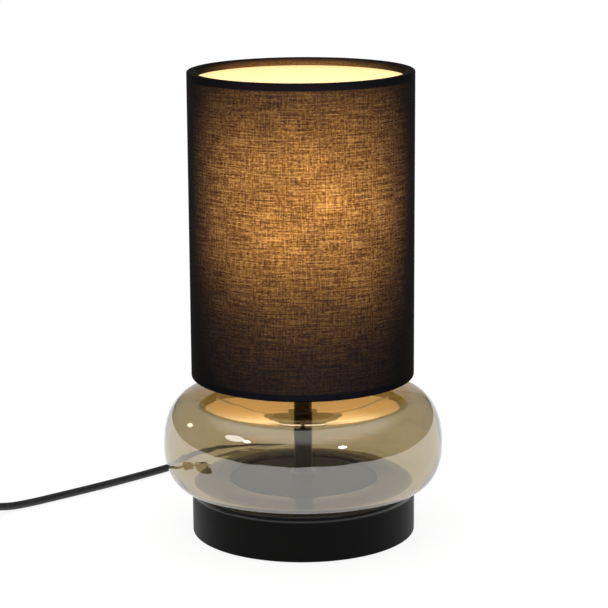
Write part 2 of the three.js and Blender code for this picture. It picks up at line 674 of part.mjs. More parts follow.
const routeEnd = new THREE.Vector3(...LEAD_ROUTE.at(-1));
const heading = Math.atan2(routeEnd.y - LEAD_ROUTE.at(-2)[1], routeEnd.x - LEAD_ROUTE.at(-2)[0]);
const ahead = new THREE.Vector3(Math.cos(heading), Math.sin(heading), 0);
const onLead = (distance, z) => routeEnd.clone().setZ(z).addScaledVector(ahead, distance);
const splitZ = SWITCH_H / 2;
const pivotZ = SWITCH_H - PIVOT_DROP;
const screwX = SWITCH_L / 2 - SCREW_INSET;
const pocketX = screwX - POST_R;
const pocketY = SWITCH_W / 2 - 2 * SWITCH_WALL;
const windowY = ROCKER_W / 2 + RUNNING_GAP;
const rockerEndH = ROCKER_MID_H + (ROCKER_L / 2) * Math.tan(ROCKER_TILT);
const rockerCorner = new THREE.Vector2(ROCKER_L / 2, rockerEndH);
const rockerReach = rockerCorner.rotateAround(new THREE.Vector2(), -ROCKER_TILT).x;
const windowX = rockerReach + RUNNING_GAP;
const switchGroup = new THREE.Group();
switchGroup.position.copy(onLead(GAP + SWITCH_L / 2, 0));
switchGroup.rotation.z = heading;
lamp.add(switchGroup);

// A rectangle with round corners, centred on the origin of its plane.
function roundedRectangle(halfX, halfY, r) {
  const shape = new THREE.Shape();
  shape.absarc(halfX - r, -halfY + r, r, -QUARTER_TURN, 0);
  shape.absarc(halfX - r, halfY - r, r, 0, QUARTER_TURN);
  shape.absarc(-halfX + r, halfY - r, r, QUARTER_TURN, 2 * QUARTER_TURN);
  shape.absarc(-halfX + r, -halfY + r, r, 2 * QUARTER_TURN, 3 * QUARTER_TURN);
  return shape;
}

// A plate of a given outline and height with softened upper and lower edges, standing on z = 0.
function softPlate(shape, height, bevel) {
  return new THREE.ExtrudeGeometry(shape, {
    depth: height - 2 * bevel, bevelThickness: bevel, bevelSize: bevel, bevelOffset: -bevel,
    bevelSegments: BEVEL_SEGMENTS, curveSegments: CORNER_SEGMENTS,
  }).translate(0, 0, bevel);
}

// A box centred in X and Y, from one height to another.
const slab = (halfX, halfY, bottom, top) =>
  boxAt([-halfX, -halfY, bottom], [2 * halfX, 2 * halfY, top - bottom]);

const screwHole = (side, radius, bottom, top) =>
  solid(barAt("z", [side * screwX, 0, bottom], radius, top - bottom, SMALL_SIDES));

function switchHalves() {
  const outline = roundedRectangle(SWITCH_L / 2, SWITCH_W / 2, SWITCH_CORNER_R);
  const block = solid(softPlate(outline, SWITCH_H, SWITCH_BEVEL));
  const below = solid(slab(SWITCH_L, SWITCH_W, -CUT_OVERRUN, splitZ - GAP / 2));
  const above = solid(slab(SWITCH_L, SWITCH_W, splitZ + GAP / 2, SWITCH_H + CUT_OVERRUN));
  let base = block.intersect(below).subtract(solid(slab(pocketX, pocketY, SWITCH_WALL, SWITCH_H)));
  let cover = block.intersect(above).subtract(solid(slab(pocketX, pocketY, 0, SWITCH_H - SWITCH_WALL)));
  cover = cover.subtract(solid(slab(windowX, windowY, 0, SWITCH_H + CUT_OVERRUN)));
  const earX = PIN_R + GAP + EAR_T;
  for (const side of [-1, 1]) {
    const earY = side > 0 ? windowY : -windowY - EAR_T;
    const roof = SWITCH_H - SWITCH_WALL / 2;
    const earBottom = pivotZ - PIN_R - EAR_T;
    const ear = boxAt([-earX, earY, earBottom], [2 * earX, EAR_T, roof - earBottom]);
    cover = cover.add(solid(ear));
    base = base.subtract(screwHole(side, SCREW_R + RUNNING_GAP, -CUT_OVERRUN, SWITCH_H));
    const sinkTop = SCREW_SINK + SCREW_HEAD_H + GAP;
    base = base.subtract(screwHole(side, SCREW_HEAD_R + RUNNING_GAP, -CUT_OVERRUN, sinkTop));
    cover = cover.subtract(screwHole(side, SCREW_R + GAP, 0, SWITCH_H - 2 * SWITCH_WALL));
  }
  const bore = barAt("y", [0, -SWITCH_W, pivotZ], PIN_R + GAP, 2 * SWITCH_W, SMALL_SIDES);
  const pinSpan = solid(slab(SWITCH_L, windowY + EAR_T, 0, SWITCH_H));
  return [base, cover.subtract(solid(bore).intersect(pinSpan))].map(geometryOf);
}

function switchRocker() {
  const flatX = ROCKER_L * ROCKER_FLAT_SHARE;
  const profile = new THREE.Shape([
    [-ROCKER_L / 2, -ROCKER_DEPTH / 2], [-flatX, -ROCKER_DEPTH], [flatX, -ROCKER_DEPTH],
    [ROCKER_L / 2, -ROCKER_DEPTH / 2], [ROCKER_L / 2, rockerEndH], [0, ROCKER_MID_H],
    [-ROCKER_L / 2, rockerEndH],
  ].map(([x, y]) => new THREE.Vector2(x, y)));
  profile.holes.push(new THREE.Path().absarc(0, 0, PIN_R + RUNNING_GAP, 0, FULL_TURN, true));
  const block = new THREE.ExtrudeGeometry(profile, {
    depth: ROCKER_W, bevelEnabled: false, curveSegments: SMALL_SIDES,
  });
  return block.rotateX(QUARTER_TURN).translate(0, ROCKER_W / 2, 0);
}

function switchScrew() {
  const length = SWITCH_H - 3 * SWITCH_WALL - SCREW_SINK;
  return turned([
    [0, 0], [SCREW_HEAD_R, 0], [SCREW_HEAD_R, SCREW_HEAD_H], [SCREW_R, SCREW_HEAD_H],
    [SCREW_R, length], [0, length],
  ], SMALL_SIDES);
}

const [switchBase, switchCover] = switchHalves();
add("switch_base", switchBase, "switchBlack", 0, switchGroup);
add("switch_cover", switchCover, "switchBlack", 0, switchGroup);
add("switch_rocker", switchRocker(), "switchBlack", pivotZ, switchGroup).rotation.y = ROCKER_TILT;
const pin = barAt("y", [0, -windowY - EAR_T, 0], PIN_R, 2 * (windowY + EAR_T), SMALL_SIDES);
add("switch_rocker_pin", pin, "zinc", pivotZ, switchGroup);
for (const [end, side] of [["front", 1], ["rear", -1]]) {
  add("switch_screw_" + end, switchScrew(), "zinc", SCREW_SINK, switchGroup).position.x = side * screwX;
  const block = slab(TERMINAL_L / 2, TERMINAL_W / 2, 0, TERMINAL_H);
  const terminal = add("switch_terminal_" + end, block, "brass", SWITCH_WALL + GAP, switchGroup);
  terminal.position.x = side * (pocketX - TERMINAL_L / 2 - GAP);
}

// Coil

const coilOuterR = COIL_INNER_R + COIL_PITCH * TURNS_PER_LAYER;
const coilZ = CORD_R + COIL_LIFT;
const coilTop = coilZ + COIL_PITCH + CORD_R;
const plugZ = coilTop + GAP + PLUG_T / 2;
const switchExit = GAP + SWITCH_L + GAP;
const coilEntry = onLead(switchExit + LEAD_IN, coilZ);
const toCentre = new THREE.Vector3(-ahead.y, ahead.x, 0);
const coilCentre = coilEntry.clone().addScaledVector(toCentre, coilOuterR).setZ(0);
const entryAngle = heading - QUARTER_TURN;
const coilTurns = 2 * TURNS_PER_LAYER;
const exitAngle = entryAngle + FULL_TURN * coilTurns;
const towards = (angle) => new THREE.Vector3(Math.cos(angle), Math.sin(angle), 0);
const plugHeading = exitAngle + 2 * QUARTER_TURN;

// Two layers that spiral in and out again, and climb a layer in the half turn where the spiral reverses.
// The last quarter turn climbs once more, and a quarter bend brings the end over the coil to the plug.
function coilLine() {
  const rise = THREE.MathUtils.smoothstep;
  const points = [onLead(switchExit + LEAD_IN - 2 * CORD_R, coilZ)];
  for (let i = 0; i <= coilTurns * STEPS_PER_TURN; i += 1) {
    const turn = i / STEPS_PER_TURN;
    const inward = Math.min(turn, coilTurns - turn);
    const reverse = rise(turn, TURNS_PER_LAYER - CLIMB_TURNS, TURNS_PER_LAYER + CLIMB_TURNS);
    const layers = reverse + rise(turn, coilTurns - CLIMB_TURNS, coilTurns);
    const point = towards(entryAngle + FULL_TURN * turn).multiplyScalar(coilOuterR - COIL_PITCH * inward);
    points.push(point.add(coilCentre).setZ(coilZ + COIL_PITCH * layers));
  }
  const bendCentre = coilCentre.clone().addScaledVector(towards(exitAngle), coilOuterR - EXIT_BEND_R);
  for (let i = 1; i <= BEND_STEPS; i += 1) {
    const share = i / BEND_STEPS;
    const point = towards(exitAngle + QUARTER_TURN * share).multiplyScalar(EXIT_BEND_R).add(bendCentre);
    points.push(point.setZ(THREE.MathUtils.lerp(coilZ + 2 * COIL_PITCH, plugZ, rise(share, 0, 1))));
  }
  points.push(points.at(-1).clone().addScaledVector(towards(plugHeading), 2 * CORD_R));
  return points;
}

// A six-sided tube whose section stays upright, with a ring of corners at each point of its line.
function woundTube(line) {
  const corners = [];
  const faces = [];
  line.forEach((centre, i) => {
    const along = line[Math.min(i + 1, line.length - 1)].clone().sub(line[Math.max(i - 1, 0)]).normalize();
    const across = new THREE.Vector3(along.y, -along.x, 0).normalize();
    const up = across.clone().cross(along);
    for (let k = 0; k < COIL_SIDES; k += 1) {
      const angle = (FULL_TURN * k) / COIL_SIDES;
      const corner = centre.clone().addScaledVector(across, CORD_R * Math.cos(angle));
      corners.push(...corner.addScaledVector(up, CORD_R * Math.sin(angle)).toArray());
      const [a, b] = [i * COIL_SIDES + k, i * COIL_SIDES + ((k + 1) % COIL_SIDES)];
      if (i > 0) faces.push(a, b, b - COIL_SIDES, a, b - COIL_SIDES, a - COIL_SIDES);
    }
  });
  const last = (line.length - 1) * COIL_SIDES;
  for (let k = 1; k < COIL_SIDES - 1; k += 1) {
    faces.push(0, k, k + 1);
    faces.push(last, last + k + 1, last + k);
  }
  const geometry = new THREE.BufferGeometry();
  geometry.setAttribute("position", new THREE.Float32BufferAttribute(corners, 3));
  geometry.setIndex(faces);
  return geometry;
}

// The least distance between the surfaces of two turns, measured on the points of the line.
function leastGap(line) {
  let least = Infinity;
  line.forEach((a, i) => line.slice(i + STEPS_PER_TURN / 2).forEach((b) => {
    least = Math.min(least, a.distanceTo(b) - 2 * CORD_R);
  }));
  return least;
}

const lengthOf = (line) => line.slice(1).reduce((sum, p, i) => sum + p.distanceTo(line[i]), 0);

function coilTie() {
  const inner = COIL_INNER_R - CORD_R - 3 * GAP;
  const outer = coilOuterR + CORD_R + GAP;
  const half = (outer - inner) / 2;
  const halfH = (COIL_PITCH + 2 * (CORD_R + GAP)) / 2;
  const band = roundedRectangle(half + TIE_T, halfH + TIE_T, CORD_R + TIE_T);
  band.holes.push(roundedRectangle(half, halfH, CORD_R));
  return new THREE.ExtrudeGeometry(band, { depth: TIE_W, bevelEnabled: false, curveSegments: TIE_SEGMENTS })
    .rotateX(QUARTER_TURN)
    .translate((inner + outer) / 2, TIE_W / 2, coilZ + COIL_PITCH / 2)
    .rotateZ(entryAngle + TIE_TURN)
    .translate(...coilCentre.toArray());
}

const leadInShares = [[0, 0], [0.15, 0], [0.4, 0.35], [0.65, 0.85], [0.85, 1], [1, 1]];
const leadInLength = LEAD_IN - 2 * CORD_R - GAP;
const leadIn = leadInShares.map(([run, drop]) =>
  onLead(switchExit + leadInLength * run, THREE.MathUtils.lerp(SWITCH_H / 2, coilZ, drop)).toArray());
const coil = coilLine();
add("cord_run_switch", cordAlong(leadIn, CORD_R, CORD_SIDES, LEAD_IN_STEPS), "cord");
add("cord_coil", woundTube(coil), "cord");
add("cord_tie", coilTie(), "switchBlack");

// Plug, lying on the coil

const plugGroup = new THREE.Group();
plugGroup.position.copy(coil.at(-1)).addScaledVector(towards(plugHeading), GAP);
plugGroup.rotation.z = plugHeading;
lamp.add(plugGroup);

function plugRelief() {
  const step = PLUG_RELIEF_L / (RELIEF_RIBS + 1);
  const ribs = Array.from({ length: RELIEF_RIBS }, (_, i) => {
    const r = RELIEF_TIP_R + ((PLUG_REAR_W / 2 - RELIEF_RIB - RELIEF_TIP_R) * i) / RELIEF_RIBS;
    const z = step * i;
    return [[r, z], [r - RELIEF_RIB / 2, z + step / 2]];
  }).flat();
  const rearR = PLUG_REAR_W / 2 - RELIEF_RIB;
  const profile = [[0, 0], ...ribs, [rearR, PLUG_RELIEF_L], [0, PLUG_RELIEF_L]];
  return turned(profile, SMALL_SIDES).rotateY(QUARTER_TURN);
}

function plugBody() {
  const outlineShares = [[0, 0.46], [0.12, 0.5], [0.35, 0.74], [0.55, 0.94], [0.72, 1], [1, 0.96]];
  const side = outlineShares.map(([run, reach]) => [PLUG_L * run, (PLUG_W / 2) * reach]);
  const outline = [...side.map(([x, y]) => [x, -y]), ...side.reverse()];
  const shape = new THREE.Shape(outline.map(([x, y]) => new THREE.Vector2(x, y)));
  return softPlate(shape, PLUG_T, PLUG_BEVEL).translate(PLUG_RELIEF_L + GAP, 0, -PLUG_T / 2);
}

function plugPin() {
  const coreR = PLUG_PIN_R - PLUG_SLEEVE_T - GAP;
  const tip = PLUG_PIN_R / 2;
  return turned([
    [0, 0], [coreR, 0], [coreR, PLUG_SLEEVE_L + GAP], [PLUG_PIN_R, PLUG_SLEEVE_L + GAP],
    [PLUG_PIN_R, PLUG_PIN_L - tip], [PLUG_PIN_R - tip, PLUG_PIN_L], [0, PLUG_PIN_L],
  ], SMALL_SIDES).rotateY(QUARTER_TURN);
}

const plugFace = PLUG_RELIEF_L + GAP + PLUG_L;
add("plug_relief", plugRelief(), "switchBlack", 0, plugGroup);
add("plug_body", plugBody(), "switchBlack", 0, plugGroup);
for (const [name, side] of [["left", 1], ["right", -1]]) {
  const y = (side * PLUG_PIN_SPACING) / 2;
  add("plug_pin_" + name, plugPin(), "nickel", 0, plugGroup).position.set(plugFace + GAP, y, 0);
  const sleeve = tubePiece(PLUG_PIN_R, PLUG_PIN_R - PLUG_SLEEVE_T, PLUG_SLEEVE_L - GAP, SMALL_SIDES);
  const fitted = add("plug_sleeve_" + name, sleeve.rotateY(QUARTER_TURN), "switchBlack", 0, plugGroup);
  fitted.position.set(plugFace + GAP, y, 0);
}

console.log("coil: least gap", leastGap(coil).toFixed(2), "mm, length", lengthOf(coil).toFixed(0), "mm");
console.log("lead: lamp to switch", curveThrough(LEAD_ROUTE).getLength().toFixed(0), "mm");
console.log("lead: switch to coil", leadInLength.toFixed(0), "mm");

export default lamp;
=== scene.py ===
"""Table lamp: a black drum base, an amber glass body round a black stem, a fabric shade lit from inside,
and a lead with a rocker switch that ends in a coil with its plug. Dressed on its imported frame, in metres."""
import json
import math

import bmesh
import bpy
import numpy as np
from mathutils import Matrix, Vector


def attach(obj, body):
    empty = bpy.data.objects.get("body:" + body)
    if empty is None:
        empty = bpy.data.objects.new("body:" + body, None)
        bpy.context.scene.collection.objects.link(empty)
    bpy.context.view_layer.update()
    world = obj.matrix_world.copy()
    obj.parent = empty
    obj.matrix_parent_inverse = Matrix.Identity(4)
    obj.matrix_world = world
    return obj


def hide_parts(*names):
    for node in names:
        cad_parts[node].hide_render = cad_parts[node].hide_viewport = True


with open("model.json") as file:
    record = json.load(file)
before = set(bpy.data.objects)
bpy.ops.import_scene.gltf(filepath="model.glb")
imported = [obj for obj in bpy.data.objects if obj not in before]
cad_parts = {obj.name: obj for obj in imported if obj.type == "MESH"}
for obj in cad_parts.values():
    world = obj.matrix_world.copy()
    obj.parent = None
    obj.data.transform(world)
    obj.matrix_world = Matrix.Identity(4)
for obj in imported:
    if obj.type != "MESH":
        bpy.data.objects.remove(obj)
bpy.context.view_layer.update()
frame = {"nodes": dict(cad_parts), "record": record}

MM = 0.001
TURN = 2 * math.pi

# Camera, from the ellipses of the photograph's shade and base
PHOTO_WIDTH = 608
FOCAL_WIDTHS = 2228.84 / PHOTO_WIDTH
CAMERA_SPOT = (0.0, -1.45687, 0.48681)
CAMERA_PITCH, CAMERA_ROLL, CAMERA_YAW = 0.2228, -0.0062, -0.0008

# Sizes in millimetres, as in the part's source
BASE_R, BASE_TOP, BASE_EDGE_R, BASE_SHEET, BASE_LIFT = 75.5, 33.2, 5.2, 1.5, 0.8
BOSS_R, BOSS_TOP = 47.5, 35.7
STEM_R, ROD_HOLE_R = 6.0, 5.3
GLASS_R, GLASS_WALL, GLASS_FLAT_R, GLASS_EDGE_R, GLASS_FOOT_R = 94.4, 3.0, 14.0, 75.0, 78.2
GLASS_BOTTOM, GLASS_BELLY, GLASS_TOP = 33.9, 60.6, 95.5
GLASS_MOUTH_R, FLAT_FOOT_R, GLASS_HOLE_R = 50.2, 66, 7.2
SHOULDER_POWER, BELLY_POWER, DISH_POWER = 2.29, 2.1, 3.5
GLASS_DISH, GLASS_LEAN = 0.05, 0.13
SHADE_R, SHADE_BOTTOM, SHADE_TOP = 75.0, 108.8, 314.0
FABRIC_T, LINING_T, WIRE_R = 0.8, 0.5, 1.5
WIRE_RING_R = SHADE_R - FABRIC_T - 0.3 - WIRE_R
HEM_R, HEM_H, INNER_R = 69.8, 5.3, SHADE_R - FABRIC_T
HUB_Z, HUB_T, SLEEVE_R = 122.2, 1.5, 19.8
RUNNING_GAP, GAP = 0.4, 0.3
CORD_R, EXIT_Z = 2.7, 9.0
SEAM_ANGLE = math.radians(102)

SHARP_ANGLE, WELD_M = math.radians(35), 1e-7
CORNER_SHARE, HOLD_SHARE = 0.4, 1.2  # most of a side that a corner takes, and where a point holds the corner


# Surfaces

def rounded(corners, radius=None, steps=4):
    """Closed outline with softened corners, by the radius or by a third number in each corner. With A and B
    at a reach along the two sides of the corner C, the corner becomes (1-t)^2 A + 2t(1-t) C + t^2 B, held by
    one more point a little further out."""
    c = np.asarray(corners, float)
    if radius is None:
        c, radius = c[:, :2], c[:, 2]
    back, ahead = np.roll(c, 1, 0) - c, np.roll(c, -1, 0) - c
    back_l, ahead_l = np.linalg.norm(back, axis=1), np.linalg.norm(ahead, axis=1)
    reach = np.minimum(np.broadcast_to(radius, back_l.shape), CORNER_SHARE * np.minimum(back_l, ahead_l))
    reach = np.where(c[:, 0] == 0, 0, reach)[:, None]
    to_a, to_b = back / back_l[:, None] * reach, ahead / ahead_l[:, None] * reach
    t = np.linspace(0, 1, steps + 1)[:, None, None]
    bend = c + (1 - t) ** 2 * to_a + t**2 * to_b
    held = np.concatenate([(c + HOLD_SHARE * to_a)[None], bend, (c + HOLD_SHARE * to_b)[None]])
    held = held.transpose(1, 0, 2).reshape(-1, 2)
    return held[np.linalg.norm(held - np.roll(held, 1, 0), axis=1) > 1e-6]


def carved(grid, from_r, depth):
    """The same surface with its points past the radius from_r moved in by depth(angle, height)."""
    x, y, z = np.moveaxis(grid["points"] / MM, -1, 0)
    r = np.hypot(x, y).clip(1e-9)
    cut = np.where(r > from_r, depth(np.arctan2(y, x), z), 0)
    return {**grid, "points": grid["points"] * np.stack([1 - cut / r] * 2 + [np.ones_like(r)], -1)}


def thread(low, high, depth, pitch):
    """Depth of a round helical groove between two heights: depth (1 - cos(TURN z/pitch - a)) / 2."""
    def cut(a, z):
        fade = np.clip((z - low) / pitch, 0, 1) * np.clip((high - z) / pitch, 0, 1)
        return depth * (1 - np.cos(TURN * z / pitch - a)) / 2 * fade.clip(0, 0.5) * 2
    return cut


def rows_of(r, low, high, step):
    """Points up a straight wall, close enough together to hold a thread."""
    return [(r, z) for z in np.arange(low, high, step)]


def turned(profile, sides):
    """Surface of revolution: a profile point (r, z) and an angle a give (r cos a, r sin a, z)."""
    r, z = np.asarray(profile, float).T[:, :, None]
    a = np.arange(sides) * TURN / sides
    points = np.stack([r * np.cos(a), r * np.sin(a), z + 0 * a], -1)
    return {"points": points * MM, "rows": True, "columns": True}


def superellipse(start, end, power, steps):
    """Quarter of a superellipse from (r0, z0) on its side to (r1, z1) on its flat:
    r = r1 + (r0 - r1) cos(a)^(2/power), z = z0 + (z1 - z0) sin(a)^(2/power)."""
    a = np.linspace(0, TURN / 4, steps + 1)
    side, rise = np.cos(a).clip(0) ** (2 / power), np.sin(a).clip(0) ** (2 / power)
    return np.stack([end[0] + (start[0] - end[0]) * side, start[1] + (end[1] - start[1]) * rise], 1)


def smooth_line(points, per_span):
    """Centripetal Catmull-Rom curve: each span is a cubic Hermite whose end slopes come from knots spaced
    by the square root of the distance."""
    p = np.asarray(points, float)
    p = np.vstack([2 * p[0] - p[1], p, 2 * p[-1] - p[-2]])
    k = np.sqrt(np.linalg.norm(np.diff(p, axis=0), axis=1))[:, None]
    k0, k1, k2 = k[:-2], k[1:-1], k[2:]
    a, b, c, d = p[:-3], p[1:-2], p[2:-1], p[3:]
    start = ((b - a) / k0 - (c - a) / (k0 + k1) + (c - b) / k1) * k1
    end = ((c - b) / k1 - (d - b) / (k1 + k2) + (d - c) / k2) * k1
    t = np.linspace(0, 1, per_span, endpoint=False)[None, :, None]
    b, c, start, end = (x[:, None] for x in (b, c, start, end))
    curve = ((2 * t**3 - 3 * t**2 + 1) * b + (t**3 - 2 * t**2 + t) * start
             + (-2 * t**3 + 3 * t**2) * c + (t**3 - t**2) * end)
    return np.vstack([curve.reshape(-1, 3), p[-2:-1]])


def line_length(points):
    """Sum of the distances from point to point."""
    return float(np.linalg.norm(np.diff(points, axis=0), axis=1).sum())


def tube(path, radius, sides, up=(0, 0, 1), closed=False, flatness=1.0):
    """Tube along a path: ring i is the circle P_i + R_i (x cos a + y sin a), where x = up x t and
    y = t x x stand across the direction t. Open ends close in a centre point."""
    p = np.asarray(path, float)
    t = np.roll(p, -1, 0) - np.roll(p, 1, 0) if closed else np.gradient(p, axis=0)
    t /= np.linalg.norm(t, axis=1)[:, None]
    x = np.cross(up, t)
    x /= np.linalg.norm(x, axis=1)[:, None]
    y = np.cross(t, x)
    a = np.arange(sides) * TURN / sides
    r = np.broadcast_to(np.asarray(radius, float), (len(p),))[:, None, None]
    ring = x[:, None] * np.cos(a)[:, None] + y[:, None] * (flatness * np.sin(a))[:, None]
    points = p[:, None] + r * ring
    if not closed:
        cap = lambda i: np.broadcast_to(p[i], (1, sides, 3))
        points = np.concatenate([cap(0), points, cap(-1)])
    return {"points": points * MM, "rows": closed, "columns": True}


def placed(grid, matrix):
    """The same surface moved by a 4x4 matrix whose place is in metres."""
    m = np.array(matrix)
    return {**grid, "points": grid["points"] @ m[:3, :3].T + m[:3, 3]}


def quads(rows, columns, close_rows, close_columns):
    """Each face's corners on the grid, as point numbers: (i, j), (i, j + 1), (i + 1, j + 1), (i + 1, j)."""
    i = np.arange(rows if close_rows else rows - 1)[:, None]
    j = np.arange(columns if close_columns else columns - 1)[None]
    here, below = i * columns, (i + 1) % rows * columns
    right = (j + 1) % columns
    return np.stack([here + j, here + right, below + right, below + j], -1).reshape(-1, 4)


def surface_map(grid):
    """UV in metres: u runs round the surface at its mean radius, v along the profile or the path."""
    p = grid["points"]
    rows, columns = p.shape[:2]
    rings = np.concatenate([p, p[:, :1]], 1) if grid["columns"] else p
    lines = np.concatenate([p, p[:1]]) if grid["rows"] else p
    u = np.concatenate([[0], np.linalg.norm(np.diff(rings, axis=1), axis=2).mean(0).cumsum()])
    v = np.concatenate([[0], np.linalg.norm(np.diff(lines, axis=0), axis=2).mean(1).cumsum()])
    i = np.arange(len(v) - 1)[:, None] + np.zeros(len(u) - 1, int)
    j = np.arange(len(u) - 1) + np.zeros((len(v) - 1, 1), int)
    corners = [(i, j), (i, j + 1), (i + 1, j + 1), (i + 1, j)]
    return np.stack([np.stack([u[b], v[a]], -1) for a, b in corners], 2).reshape(-1, 2)


def piece(name, grids, body, slot, stands_for):
    """One object from one or more surface grids, welded, smooth but for edges over SHARP_ANGLE."""
    points, faces, coords, start = [], [], [], 0
    for grid in grids if isinstance(grids, list) else [grids]:
        rows, columns = grid["points"].shape[:2]
        points.append(grid["points"].reshape(-1, 3))
        faces.append(quads(rows, columns, grid["rows"], grid["columns"]) + start)
        coords.append(surface_map(grid))
        start += rows * columns
    mesh = bpy.data.meshes.new(name)
    mesh.from_pydata(np.concatenate(points), [], np.concatenate(faces))
    layer = mesh.uv_layers.new(name="Surface")
    layer.data.foreach_set("uv", np.concatenate(coords).ravel())
    mesh.materials.append(finishes[slot])
    shape = bmesh.new()
    shape.from_mesh(mesh)
    bmesh.ops.remove_doubles(shape, verts=shape.verts, dist=WELD_M)
    shape.to_mesh(mesh)
    shape.free()
    mesh.shade_smooth()
    mesh.set_sharp_from_angle(angle=SHARP_ANGLE)
    made = bpy.data.objects.new(name, mesh)
    bpy.context.scene.collection.objects.link(made)
    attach(made, body)
    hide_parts(*([stands_for] if isinstance(stands_for, str) else stands_for))
    return made


# Camera

camera_data = bpy.data.cameras.new("photo_camera")
camera_data.sensor_width = 36
camera_data.lens = FOCAL_WIDTHS * camera_data.sensor_width
camera = bpy.data.objects.new("photo_camera", camera_data)
bpy.context.scene.collection.objects.link(camera)
camera.matrix_world = (
    Matrix.Translation(CAMERA_SPOT) @ Matrix.Rotation(CAMERA_YAW, 4, "Z")
    @ Matrix.Rotation(TURN / 4 - CAMERA_PITCH, 4, "X") @ Matrix.Rotation(CAMERA_ROLL, 4, "Z")
)
bpy.context.scene.camera = camera


# Light and colour, with the bulb's light painted on the shade's cloth and lining as glow

CLOTH_LIT, LINING_LIT = (0.236, 0.056), (0.2, 0.075)  # height of the brightest painted glow, and its spread
# emission strengths: painted glow on the cloth and the lining, and the globe's own light
CLOTH_GLOW, LINING_GLOW, GLOBE_GLOW = 4.9, 1.85, 2.4
LINING_FLOOR, LINING_FOOT, GLOBE_FOOT = 0.14, (0.112, 0.2), (0.156, 0.178)  # least painted glow, and the heights where the painted glow dims into painted shade
HEM_GLOW_LEFT, HEM_PAINTED_GLOW, SEAM_GLOW_LEFT = 0.04, 0.5, 0.45  # painted glow left where the cloth lies double, a painted shade
HEM_SOFT, SEAM_SOFT = (4.2, 5.6), (0.0045, 0.0052)  # painted shade from double to single: mm from the edge, m
THREAD_PITCH, WARP_RUN, WEFT_RUN, SLUB_RUN, THREAD_SWAY = 0.00078, 80.0, 52.0, 420.0, 0.0012
THREAD_SHADOW = (0.145, 0.15, 0.21)
ROOM_DARK, ROOM_SIDE, ROOM_ABOVE, ROOM_BEHIND, ROOM_LIGHT = 0.04, 0.2, 0.5, 0.6, 0.9
FLOOR_SIZE, FLOOR_SHARE, FLOOR_WHITE = 4, 0.78, 1.1
GLASS_TINT, GLASS_AMBER, GLASS_DENSITY = (0.9, 0.89, 0.86), (0.64, 0.52, 0.18), 260.0
LUSTRE, LUSTRE_TINT, TOP_GLOW_TINT = 0.17, (1.0, 0.98, 0.95), (0.9, 0.66, 0.3)
TOP_GLOW_R, TOP_GLOW_Z = (0.066, 0.078), (0.08, 0.09)  # where the painted golden glow on the glass top ends outwards and downwards


# Finishes

class Signal:
    """A number in a material's nodes. The operators add the Math nodes that they name."""

    def __init__(self, finish, socket):
        self.finish, self.socket = finish, socket

    def math(self, operation, *numbers):
        return self.finish.signal("ShaderNodeMath", {"operation": operation}, dict(enumerate(numbers)))

    def __add__(self, other):
        return self.math("ADD", self, other)

    def __sub__(self, other):
        return self.math("SUBTRACT", self, other)

    def __rsub__(self, other):
        return self.math("SUBTRACT", other, self)

    def __mul__(self, other):
        return self.math("MULTIPLY", self, other)

    def __truediv__(self, other):
        return self.math("DIVIDE", self, other)

    __radd__, __rmul__ = __add__, __mul__

    def ramp(self, low, high, first=0.0, last=1.0):
        """Smoothly from `first` where the signal is `low` to `last` where it is `high`."""
        inputs = {0: self, 1: low, 2: high, 3: first, 4: last}
        return self.finish.signal("ShaderNodeMapRange", {"interpolation_type": "SMOOTHSTEP"}, inputs)


